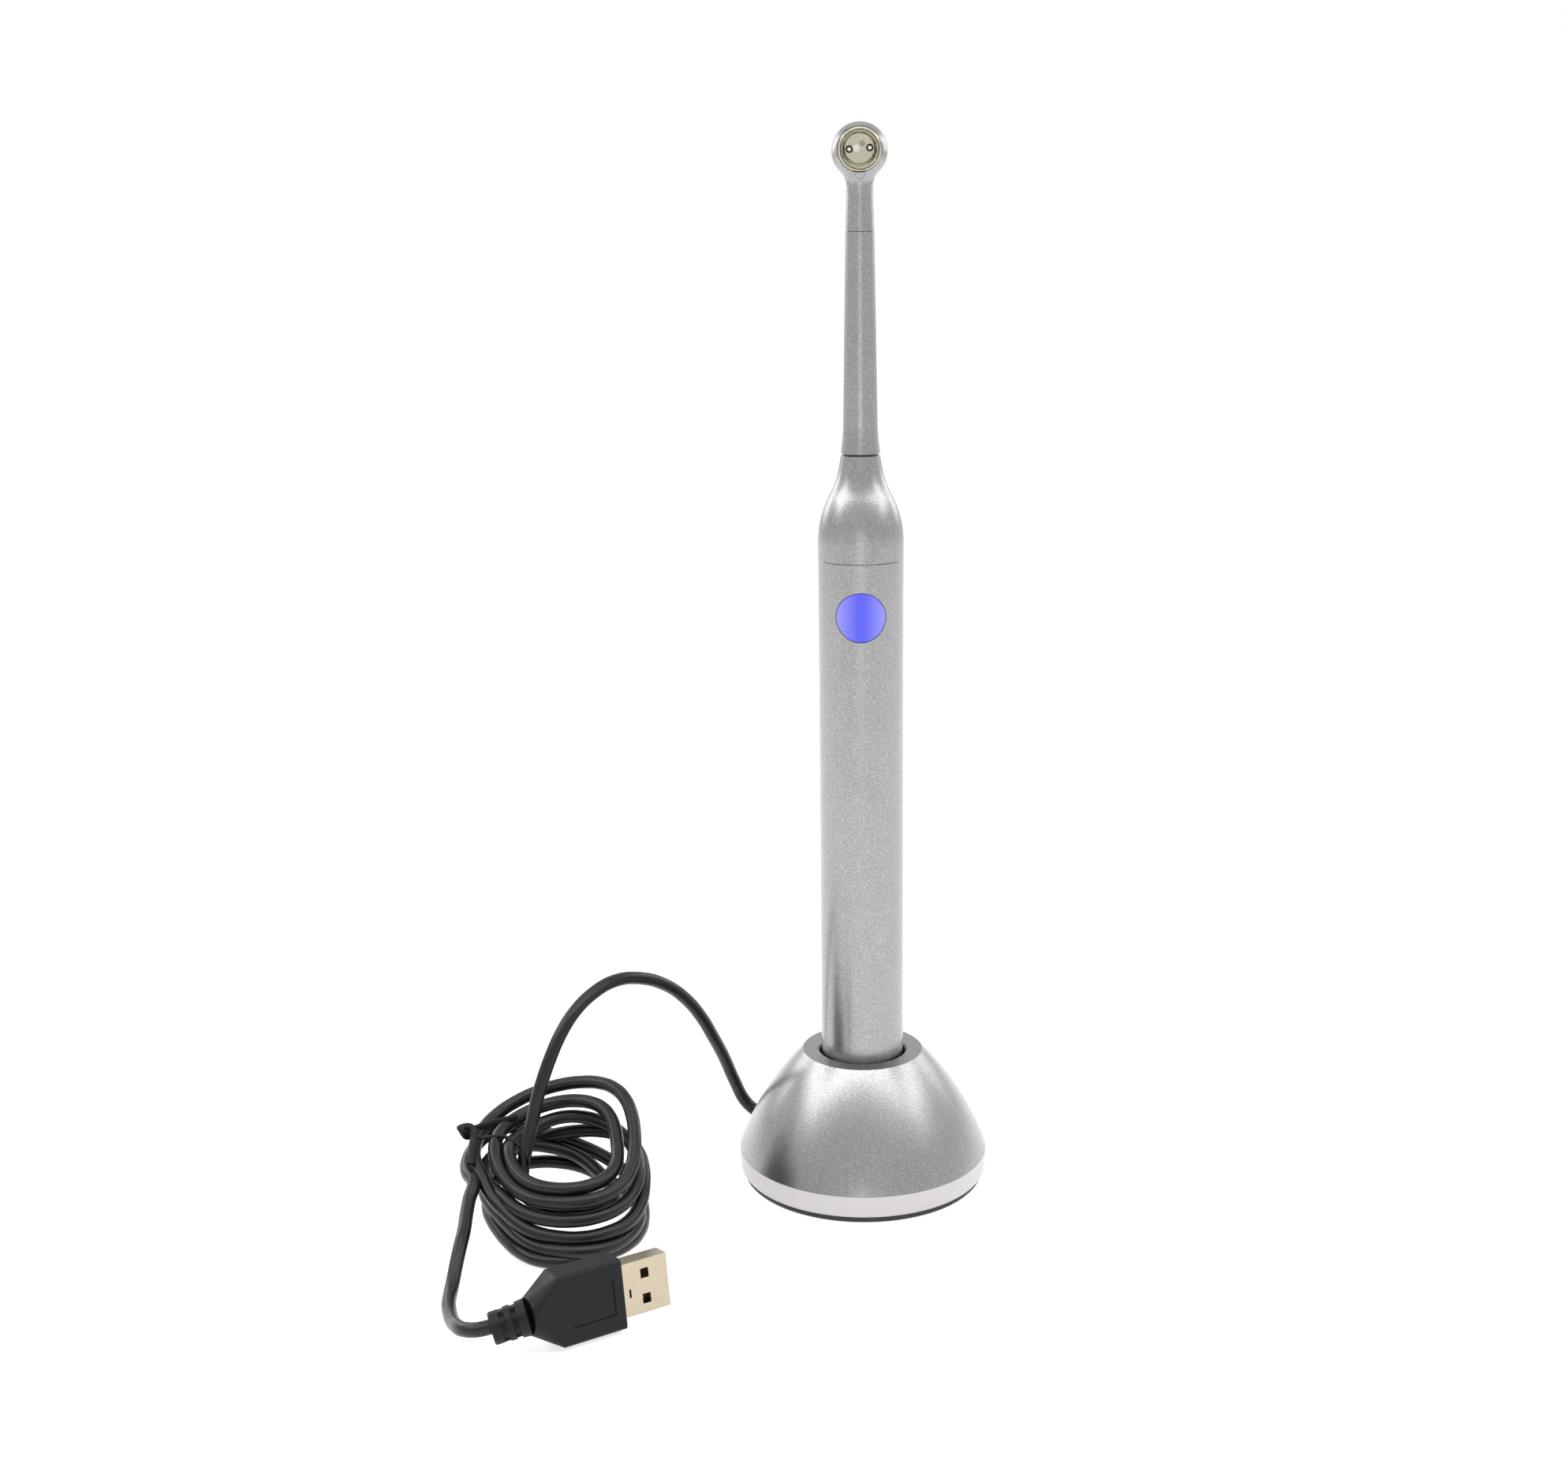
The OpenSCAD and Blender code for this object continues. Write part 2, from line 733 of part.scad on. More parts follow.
module cord_gland() {
    color(black)
        rotate([0, 0, cord_angle])
            translate([0, 0, gland_z])
                rotate([0, 90, 0])
                    difference() {
                        rotate_extrude()
                            polygon([
                                [0, gland_in], [gland_flange_r, gland_in],
                                [gland_flange_r, gland_in + 0.8], [gland_r - fit, gland_in + 0.8],
                                [gland_r - fit, dock_base_r + 0.05], [gland_r + 0.4, dock_base_r + 0.05],
                                [gland_r, dock_base_r + gland_out], [0, dock_base_r + gland_out]
                            ]);
                        // the cord's inner end sits here
                        translate([0, 0, gland_in - 1]) cylinder(h = 2.6, r = cord_d / 2 + fit);
                    }
}

module cord_inner() {
    inner_z = board_top + cord_d / 2 + 0.1;
    color(black)
        rotate([0, 0, cord_angle])
            cord_tube(
                [
                    [gland_in + 1.6, 0, gland_z], [gland_in - 0.6, 0, gland_z],
                    [gland_in - 4, 0, gland_z + 0.3], [ballast_in_r + 3, 0, inner_z],
                    [ballast_in_r, 0, inner_z], [cup_r - 1.6, 0, inner_z]
                ],
                cord_d, cord_sides
            );
}

// ---------- Handpiece ----------

module barrel() {
    color(satin)
        difference() {
            rotate_extrude()
                polygon([
                    [barrel_in_r, barrel_low], [barrel_r, barrel_low],
                    [barrel_r, shoulder_z - seam_chamfer], [barrel_r - seam_chamfer, shoulder_z],
                    [barrel_in_r, shoulder_z]
                ]);
            button_disc(hole_r, 1, barrel_r + 2);
        }
}

// Outline of the shoulder's outside
module shoulder_outline() {
    bend = [barrel_r, bend_z];
    waist = [bend_end_r, bend_end_z];
    throat = [hollow_end_r, hollow_end_z];
    difference() {
        union() {
            polygon([
                [0, shoulder_z], [barrel_r - seam_chamfer, shoulder_z],
                [barrel_r, shoulder_z + seam_chamfer], bend, waist, throat,
                [throat_r, swivel_z - 0.15], [throat_r - 0.15, swivel_z], [0, swivel_z]
            ]);
            segment(bend, waist, sagitta(bend_r, shoulder_angle));
        }
        segment(throat, waist, sagitta(hollow_r, shoulder_angle - throat_angle));
    }
}

module shoulder() {
    color(satin)
        difference() {
            rotate_extrude()
                difference() {
                    union() {
                        shoulder_outline();
                        translate([0, shoulder_z - shoulder_spigot_h])
                            square([barrel_in_r - fit, shoulder_spigot_h + EPS]);
                    }
                    polygon([
                        [0, shoulder_z - shoulder_spigot_h - 1],
                        [barrel_in_r - shoulder_wall, shoulder_z - shoulder_spigot_h - 1],
                        [barrel_in_r - shoulder_wall, bend_z],
                        [bush_out_r + 1, bush_low], [0, bush_low]
                    ]);
                    translate([0, bush_low - 1]) square([bush_out_r + fit, swivel_z]);
                }
        }
}

module end_cap() {
    color(black)
        difference() {
            union() {
                rotate_extrude()
                    polygon([
                        [0, floor_z], [barrel_r - 0.6, floor_z], [barrel_r, floor_z + 0.6],
                        [barrel_r, barrel_low], [0, barrel_low]
                    ]);
                translate([0, 0, barrel_low - EPS])
                    cylinder(h = cap_spigot_h + EPS, r = barrel_in_r - fit);
            }
            // seats of the two contacts, which are flush with the end
            translate([0, 0, floor_z - 1]) cylinder(h = contact_t + 1, r = pad_r + fit);
            tube(
                pin_offset + track_w / 2 + fit, pin_offset - track_w / 2 - fit,
                floor_z - 1, floor_z + contact_t
            );
            // inside of the spigot
            translate([0, 0, barrel_low + 1]) cylinder(h = cap_spigot_h, r = barrel_in_r - 0.9);
            for (x = [-charge_lead_x, charge_lead_x])
                translate([x, charge_lead_y, barrel_low + 1]) cylinder(h = 9, r = charge_lead_r + 0.1);
        }
}

module charge_pad() {
    color(brass)
        translate([0, 0, contact_z]) cylinder(h = contact_t, r = pad_r);
}

module charge_ring() {
    color(brass)
        tube(pin_offset + track_w / 2, pin_offset - track_w / 2, contact_z, contact_z + contact_t);
}

module charge_leads() {
    color("firebrick")
        for (x = [-charge_lead_x, charge_lead_x]) {
            rod([x, charge_lead_y, barrel_low + 1], [x, charge_lead_y, board_z + 4], charge_lead_r);
            translate([x, charge_lead_y, board_z + 4]) sphere(r = charge_lead_r, $fn = 32);
            rod([x, charge_lead_y, board_z + 4], [x, -board_face, board_z + 4], charge_lead_r);
        }
}

// Half-round tray with bulkheads that carries the battery and the board
module chassis() {
    color(white_nylon)
        difference() {
            intersection() {
                translate([0, 0, chassis_low]) cylinder(h = chassis_top - chassis_low, r = chassis_r);
                translate([-chassis_r, -tray_front, chassis_low])
                    cube([2 * chassis_r, chassis_r + tray_front, chassis_top - chassis_low]);
            }
            translate([0, 0, chassis_low + bulkhead_t])
                cylinder(h = tray_low - chassis_low - 2 * bulkhead_t, r = chassis_in_r);
            translate([0, 0, tray_low])
                cylinder(h = chassis_top - bulkhead_t - tray_low, r = tray_in_r);
            // way of the lamp's lead through the top bulkhead
            translate([0, lead_way_y, chassis_top - bulkhead_t - 1])
                cylinder(h = bulkhead_t + 2, r = sheath_r + 0.5);
            for (z = board_screw_z, x = [-board_screw_x, board_screw_x])
                translate([x, -tray_front - 1, z])
                    rotate([-90, 0, 0]) cylinder(h = 4, r = board_screw[2] + thread_gap, $fn = 32);
        }
}

module battery() {
    color("steelblue")
        union() {
            translate([0, 0, cell_low]) cylinder(h = cell_l - 1.2, r = cell_r);
            translate([0, 0, cell_top - 1.2 - EPS]) cylinder(h = 1.2 + EPS, r = 2.8);
        }
}

module battery_spring() {
    color(steel)
        translate([0, 0, chassis_low + bulkhead_t]) spring(5, 2.6, spring_h, 5, 0.35);
}

module battery_plate() {
    color(nickel)
        translate([-4, -1, cell_top]) cube([8, 6, battery_plate_t]);
}

module control_board() {
    color(board_green)
        difference() {
            translate([-board_w / 2, -board_face, board_z])
                cube([board_w, board_t, board_high - board_z]);
            for (z = board_screw_z, x = [-board_screw_x, board_screw_x])
                translate([x, -board_face - 1, z])
                    rotate([-90, 0, 0])
                        cylinder(h = board_t + 2, r = board_screw[2] + thread_gap, $fn = 32);
        }
}

// Parts on the board: a coil, two chips and small parts in front, the lamp's socket behind
module board_parts() {
    back = -board_face;
    color([0.15, 0.15, 0.16])
        union() {
            translate([0, back, coil_part_z])
                rotate([90, 0, 0]) cylinder(h = coil_part_h, r = coil_part_r, $fn = 48);
            for (z = chips_z)
                translate([-chip[0] / 2, back - chip[1], z]) cube(chip);
            for (x = small_parts_x, i = [0 : 6])
                translate([x, back - small_part[1], small_parts_z + i * small_parts_step])
                    cube(small_part);
            translate([-socket_w / 2, back + board_t, socket_top - socket_h])
                cube([socket_w, socket_t, socket_h]);
        }
}

module switch_body() {
    color(black)
        difference() {
            translate([-switch_w / 2, -board_face - switch_h, button_z - switch_w / 2])
                cube([switch_w, switch_h, switch_w]);
            button_disc(plunger_r + 0.1, board_face + dome_seat, stem_tip);
            button_disc(dome_r + 0.2, board_face + dome_seat, plunger_back - 0.1);
        }
}

module switch_dome() {
    color(steel)
        button_disc(dome_r, board_face + dome_seat, board_face + dome_rise);
}

module button_guide() {
    color(black)
        difference() {
            button_disc(guide_in_r + guide_wall, board_face, board_face + guide_h);
            button_disc(guide_in_r, board_face - 1, board_face + guide_h + 1);
        }
}

module chassis_screws() {
    color(steel)
        for (z = board_screw_z, x = [-board_screw_x, board_screw_x])
            translate([x, -board_face, z])
                rotate([-90, 0, 0]) screw(board_screw, board_t + 2);
}

// ---------- Button ----------

module push_button() {
    color([0.40, 0.40, 0.98])
        union() {
            intersection() {
                button_disc(button_r, flange_front - EPS, barrel_r + 2);
                translate([0, 0, button_z - button_r - 1])
                    cylinder(h = 2 * button_r + 2, r = barrel_r - 0.05);
            }
            button_disc(button_flange_r, flange_front - button_flange_t, flange_front);
            button_disc(stem_r, stem_tip, flange_front);
        }
}

module switch_plunger() {
    color(black)
        button_disc(plunger_r, plunger_back, stem_tip);
}

// ---------- Swivel, neck and head ----------

module swivel_bush() {
    color(black)
        rotate_extrude()
            polygon([
                [bush_in_r, bush_low], [bush_out_r, bush_low], [bush_out_r, swivel_z],
                [bush_flange_r, swivel_z], [bush_flange_r, neck_low_z], [bush_in_r, neck_low_z]
            ]);
}

module neck_tube() {
    flare_top = neck_low_z + neck_flare_h;
    color(satin)
        rotate_extrude()
            difference() {
                union() {
                    difference() {
                        polygon([
                            [0, neck_low_z], [neck_foot_r - 0.15, neck_low_z],
                            [neck_foot_r, neck_low_z + 0.15], [neck_low_r, flare_top],
                            [neck_seam_r, neck_seam_z - seam_chamfer],
                            [neck_seam_r - seam_chamfer, neck_seam_z], [0, neck_seam_z]
                        ]);
                        segment([neck_low_r, flare_top], [neck_foot_r, neck_low_z + 0.15], 0.1);
                    }
                    polygon([
                        [0, spigot_low], [spigot_r - 0.3, spigot_low], [spigot_r, spigot_low + 0.3],
                        [spigot_r, neck_low_z + EPS], [0, neck_low_z + EPS]
                    ]);
                }
                translate([0, spigot_low - 1]) square([lead_bore_r, neck_seam_z]);
                translate([0, neck_seam_z - casting_spigot_h - 0.3])
                    square([casting_spigot_r + fit, casting_spigot_h + 1]);
                // grooves of the clip and the O-ring
                translate([spigot_groove_r, bush_low - clip_gap - clip_t])
                    square([spigot_r, clip_t]);
                translate([spigot_r - o_ring_t, o_ring_z - o_ring_t / 2 - 0.05])
                    square([spigot_r, o_ring_t + 0.1]);
            }
}

module swivel_o_ring() {
    color(black)
        translate([0, 0, o_ring_z])
            rotate_extrude()
                translate([spigot_r - o_ring_t / 2 + 0.02, 0]) circle(r = o_ring_t / 2 - 0.01, $fn = 32);
}

module retaining_clip() {
    color(steel)
        translate([0, 0, bush_low - clip_gap - clip_t])
            difference() {
                cylinder(h = clip_t, r = bush_out_r + 0.3);
                translate([0, 0, -1]) cylinder(h = 3, r = spigot_groove_r + fit);
                translate([0, -1.6, -1]) cube([10, 3.2, 3]);
            }
}

// Outline of the head casting's outside, grown by a margin
module head_outline(grow) {
    difference() {
        polygon([
            [0, neck_seam_z], [neck_seam_r - seam_chamfer + grow, neck_seam_z],
            [neck_seam_r + grow, neck_seam_z + seam_chamfer],
            [neck_thin_r + grow, fillet_z - 2], [neck_thin_r + grow, fillet_z],
            [fillet_x, fillet_z],
            [fillet_x * head_r / (head_r + head_fillet),
                head_z - (head_z - fillet_z) * head_r / (head_r + head_fillet)],
            [0, head_z]
        ]);
        translate([fillet_x, fillet_z]) circle(r = head_fillet - grow, $fn = 180);
    }
    intersection() {
        translate([0, head_z]) circle(r = head_r + grow, $fn = 180);
        translate([0, neck_seam_z]) square([head_r + 1, head_z + head_r + 1 - neck_seam_z]);
    }
}

// Tongue-shaped column that cuts the key and its pocket
module key_column(grow) {
    top_w = 1.7 + grow;
    low_w = 1.15 + grow;
    low_z = head_z - 6.15 - grow;
    translate([0, -2.3 + grow, 0])
        rotate([90, 0, 0])
            linear_extrude(height = 4)
                union() {
                    polygon([
                        [-top_w, head_z - bezel_r + 0.6], [-low_w, low_z + low_w],
                        [low_w, low_z + low_w], [top_w, head_z - bezel_r + 0.6]
                    ]);
                    translate([0, low_z + low_w]) circle(r = low_w, $fn = 48);
                }
}

module head_casting() {
    color(satin)
        difference() {
            union() {
                rotate_extrude() head_outline(0);
                translate([0, 0, neck_seam_z - casting_spigot_h])
                    cylinder(h = casting_spigot_h + EPS, r = casting_spigot_r);
            }
            // flat face and bore of the lamp
            lamp_disc(head_r + 1, face_d, head_r + 2);
            lamp_disc(bezel_r + fit, bezel_seat, head_r + 2);
            lamp_disc(lamp_bore_r, slug_back, head_r);
            lamp_disc(lamp_back_r, lamp_bore_back, head_r);
            // dimple of the setscrew under the key
            translate([dimple[0], -head_r, head_z - head_r - 0.05])
                rotate([-90, 0, 0])
                    cylinder(h = head_r - neck_thin_r + 0.2, r = dimple[1], $fn = 24);
            translate([0, 0, neck_seam_z - casting_spigot_h - 1])
                cylinder(h = head_z - neck_seam_z + casting_spigot_h + 1, r = lead_bore_r);
            key_column(0.06);
        }
}

module bezel_ring() {
    color(nickel)
        at_lamp()
            rotate_extrude()
                polygon([
                    [bezel_in_r, bezel_back], [lamp_bore_r - fit, bezel_back],
                    [lamp_bore_r - fit, bezel_seat], [bezel_r, bezel_seat],
                    [bezel_r, bezel_front - 0.3], [bezel_r - 0.3, bezel_front],
                    [bezel_in_r + 0.12, bezel_front], [bezel_in_r, bezel_front - 0.12]
                ]);
}

module bezel_key() {
    color(satin)
        difference() {
            intersection() {
                rotate_extrude() head_outline(0.12);
                key_column(0);
            }
            lamp_disc(bezel_r + 0.05, 0, head_r + 2);
            lamp_disc(head_r + 1, face_d + 0.12, head_r + 2);
        }
}

module lamp_window() {
    color([0.85, 0.88, 0.90, 0.35])
        lamp_disc(bezel_in_r - fit, window_front - window_t, window_front);
}

module reflector() {
    back = bezel_back;
    front = window_front - window_t;
    color(brass)
        at_lamp()
            rotate_extrude()
                polygon([
                    [header_r + 0.06, back], [bezel_in_r - fit, back], [bezel_in_r - fit, front],
                    [bezel_in_r - 0.2, front], [header_r + 0.06, back + header_rise + 0.1]
                ]);
}

module lamp_header() {
    color(brass)
        difference() {
            union() {
                lamp_disc(lamp_bore_r - fit, header_d, header_d + header_flange_t);
                lamp_disc(header_r, header_d, header_top);
            }
            for (x = [-1, 1]) lamp_disc(seal_r, header_d - 1, header_top + 1, x * pin_pitch / 2);
        }
}

module pin_seals() {
    color(black)
        for (x = [-1, 1])
            difference() {
                lamp_disc(seal_r, header_d, header_top - 0.08, x * pin_pitch / 2);
                lamp_disc(lamp_pin_r, header_d - 1, header_top + 1, x * pin_pitch / 2);
            }
}

module lamp_pins() {
    color(nickel)
        for (x = [-1, 1])
            lamp_disc(lamp_pin_r, pin_tail, header_top + 0.15, x * pin_pitch / 2);
}

module heat_slug() {
    color("peru")
        difference() {
            lamp_disc(lamp_bore_r - fit, slug_back, header_d);
            for (x = [-1, 1])
                lamp_disc(lamp_pin_r + 0.3, slug_back - 1, header_d + 1, x * pin_pitch / 2);
            // groove of the leads, in the lower back edge
            translate([-lead_groove[0] / 2, lead_groove[1], sheath_top])
                cube([lead_groove[0], head_r, head_z - lead_groove[2] - sheath_top]);
        }
}

// Two wires from the lamp's pins into one sheathed lead on the neck's axis
module lamp_leads() {
    color("firebrick")
        union() {
            for (side = [-1, 1]) {
                x = side * pin_pitch / 2;
                cord_tube(
                    [
                        behind_lamp(x, fit - pin_tail), behind_lamp(x, 0.7 - pin_tail),
                        [0.9 * x, 2.2, head_z + 0.4], [0.6 * x, 2, head_z - 0.5],
                        [side * 1.1, 1.6, head_z - 1.3], [side * 0.85, 1, head_z - 2.3],
                        [side * 0.8, 0.9, sheath_top + 2.6], [side * 0.7, 0.6, sheath_top + 1.3],
                        [side * 0.6, 0.3, sheath_top + 0.3], [side * 0.6, 0, sheath_top - 0.5]
                    ],
                    2 * lead_r, cord_sides
                );
            }
            translate([0, 0, sheath_low]) cylinder(h = sheath_top - sheath_low, r = sheath_r);
        }
}

// Slack of the lamp's lead, which twists as the head turns
module lead_slack() {
    end_y = -board_face + board_t + socket_t / 2;
    color("firebrick")
        cord_tube(
            [
                [0, 0, sheath_low], [0, 0, sheath_low - 2], [0.9, 0.3, sheath_low - 5],
                [1, 1.2, sheath_low - 8.5],
                [0, lead_way_y, chassis_top], [0, lead_way_y, chassis_top - bulkhead_t],
                [-0.6, 1, socket_top + 5], [0, end_y, socket_top + 2], [0, end_y, socket_top]
            ],
            2 * sheath_r, cord_sides
        );
}

// ---------- Cord and plug ----------

module cord_lead() {
    start = [gland_face[0], gland_face[1], gland_z];
    stub = start + 1.2 * [cord_way[0], cord_way[1], 0];
    color(black) cord_tube(concat([start, stub], lead_route), cord_d, cord_sides);
}

// Section of the coil, grown by a margin
module coil_section(grow) {
    low = coil_hole_r - grow;
    high = coil_r + grow;
    top = coil_h + grow;
    polygon([
        [low, coil_round - grow], [coil_hole_r + coil_round - grow, 0 - grow],
        [coil_r - coil_round + grow, 0 - grow], [high, coil_round - grow],
        [high, top - coil_round], [high - coil_round, top],
        [low + coil_round, top], [low, top - coil_round]
    ]);
}

module cord_coil() {
    color(black)
        translate([coil_mid[0], coil_mid[1], 0])
            rotate_extrude() coil_section(0);
}

module cord_tail() {
    color(black) cord_tube(concat(tail_route, [boot_face - 0.12 * boot_way]), cord_d, cord_sides);
}

// Band over the coil with its twisted knot and hanging end
module twist_tie() {
    mid_r = (coil_r + coil_hole_r) / 2;
    low_z = -tie_t - 1;
    knot_x = coil_r + tie_t + 0.9;
    color(black)
        translate([coil_mid[0], coil_mid[1], 0])
            rotate([0, 0, tie_angle])
                union() {
                    translate([0, tie_w / 2, 0])
                        rotate([90, 0, 0])
                            linear_extrude(height = tie_w)
                                difference() {
                                    coil_section(tie_clear + tie_t);
                                    coil_section(tie_clear);
                                    translate([0, low_z]) square([mid_r, tie_in_z - low_z]);
                                    translate([mid_r, low_z]) square([mid_r, tie_out_z - low_z]);
                                }
                    translate([knot_x, 0, coil_h - 3])
                        rotate([0, 0, knot_turn]) cube(knot, center = true);
                    rod([knot_x, 0, coil_h - 4], [knot_x, tie_w, coil_h - 4 - end_l], end_r);
                }
}

// Puts a plug piece in its place: X along the plug, Z across its width
module at_plug() {
    translate(plug_place) rotate([0, 0, plug_yaw]) rotate([-plug_lean, 0, 0]) children();
}

// Rounded slab across the plug, from one station to another
module plug_slab(x, l, w, t, r) {
    translate([x, 0, 0])
        hull()
            for (y = [-1, 1], z = [-1, 1])
                translate([0, y * (t / 2 - r), z * (w / 2 - r)])
                    rotate([0, 90, 0]) cylinder(h = l, r = r, $fn = 24);
}

// Ribbed tail of the plug, along +X, with bars that bridge its grooves
module boot() {
    rotate([0, 90, 0])
        rotate_extrude()
            polygon([
                [0, 0], [boot_end_r - 0.3, 0], [boot_end_r, 0.3],
                [boot_end_r, 2.2], [boot_core_r, 2.2], [boot_core_r, 3.4],
                [boot_end_r + 0.15, 3.4], [boot_end_r + 0.2, 4.8],
                [boot_core_r, 4.8], [boot_core_r, 6],
                [boot_r - 0.2, 6], [boot_r, boot_l], [0, boot_l + 1]
            ]);
    translate([1, -0.9, 0.2 - boot_end_r]) cube([boot_l - 1, 1.8, 2 * boot_end_r - 0.4]);
}

module plug_grip() {
    color(black)
        at_plug()
            difference() {
                union() {
                    plug_slab(-grip_l, grip_l, grip_w, grip_t, 1);
                    hull() {
                        plug_slab(-grip_l - 0.4, 0.4 + EPS, grip_w, grip_t, 1);
                        translate([-grip_l - grip_taper_l, 0, 0])
                            rotate([0, 90, 0]) cylinder(h = 0.4, r = boot_r, $fn = 32);
                    }
                    // ribbed tail
                    translate([-grip_l - grip_taper_l, 0, 0])
                        rotate([0, -boot_droop, -boot_bend])
                            translate([-boot_l, 0, 0]) boot();
                }
                // shallow panels on both faces
                for (s = [-1, 1])
                    translate([-grip_l + panel_start, s * grip_t / 2 - panel_depth, -panel_w / 2])
                        cube([panel_l, 2 * panel_depth, panel_w]);
                // socket of the metal shell
                translate([-shell_in, -shell_t / 2 - fit, -shell_w / 2 - fit])
                    cube([shell_in + 1, shell_t + 2 * fit, shell_w + 2 * fit]);
            }
}

module plug_shell() {
    color(nickel)
        at_plug()
            difference() {
                translate([-shell_in + fit, -shell_t / 2, -shell_w / 2])
                    cube([shell_in + shell_out - fit, shell_t, shell_w]);
                translate([-shell_in - 1, -shell_t / 2 + shell_wall, -shell_w / 2 + shell_wall])
                    cube([shell_in + shell_out + 2, shell_t - 2 * shell_wall, shell_w - 2 * shell_wall]);
                // the two square windows in each wide face
                for (z = [-1, 1])
                    translate([window_x, -shell_t, z * window_z - window_w / 2])
                        cube([window_l, 2 * shell_t, window_w]);
                // the small slot in the front face
                translate([2.3, -shell_t / 2, -0.9]) cube([0.5, 1, 1.9], center = true);
            }
}

module plug_tongue() {
    w = shell_w - 2 * shell_wall - 2 * fit;
    color(black)
        at_plug()
            translate([-shell_in + fit, shell_t / 2 - shell_wall - tongue_t, -w / 2])
                cube([shell_in + shell_out - 0.8, tongue_t - fit, w]);
}

module plug_contacts() {
    face = shell_t / 2 - shell_wall - tongue_t;
    color(brass)
        at_plug()
            for (i = [0 : 3])
                let (x = blade_x + (i % 3 == 0 ? 0 : 1))
                    translate([x, face - blade_t, (i - 1.5) * blade_pitch - blade_w / 2])
                        cube([shell_out - blade_clear - x, blade_t, blade_w]);
}

// ---------- Output ----------

dock_shell();
base_ring();
base_plate();
rubber_foot();
ballast_ring();
base_screws();
socket_cup();
cup_screws();
dock_board();
pin_housing();
contact_pin_centre();
contact_pin_outer();
pin_spring_centre();
pin_spring_outer();
cord_gland();
cord_inner();
barrel();
shoulder();
end_cap();
charge_pad();
charge_ring();
charge_leads();
chassis();
battery();
battery_spring();
battery_plate();
control_board();
board_parts();
switch_body();
switch_dome();
button_guide();
chassis_screws();
swivel_bush();
neck_tube();
swivel_o_ring();
retaining_clip();
head_casting();
bezel_ring();
bezel_key();
lamp_window();
reflector();
lamp_header();
pin_seals();
lamp_pins();
heat_slug();
lamp_leads();
lead_slack();
push_button();
switch_plunger();
cord_lead();
cord_coil();
cord_tail();
twist_tie();
plug_grip();
plug_shell();
plug_tongue();
plug_contacts();
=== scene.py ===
"""Looks of a cordless curing light that stands in its charging dock.

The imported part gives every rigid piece. This script dresses those pieces, lays
the charging cord and ties it, and sets up the studio and the camera. Lengths
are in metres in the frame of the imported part, except where a name ends in mm.
"""

import json
import logging
import math
from dataclasses import dataclass
from enum import Enum

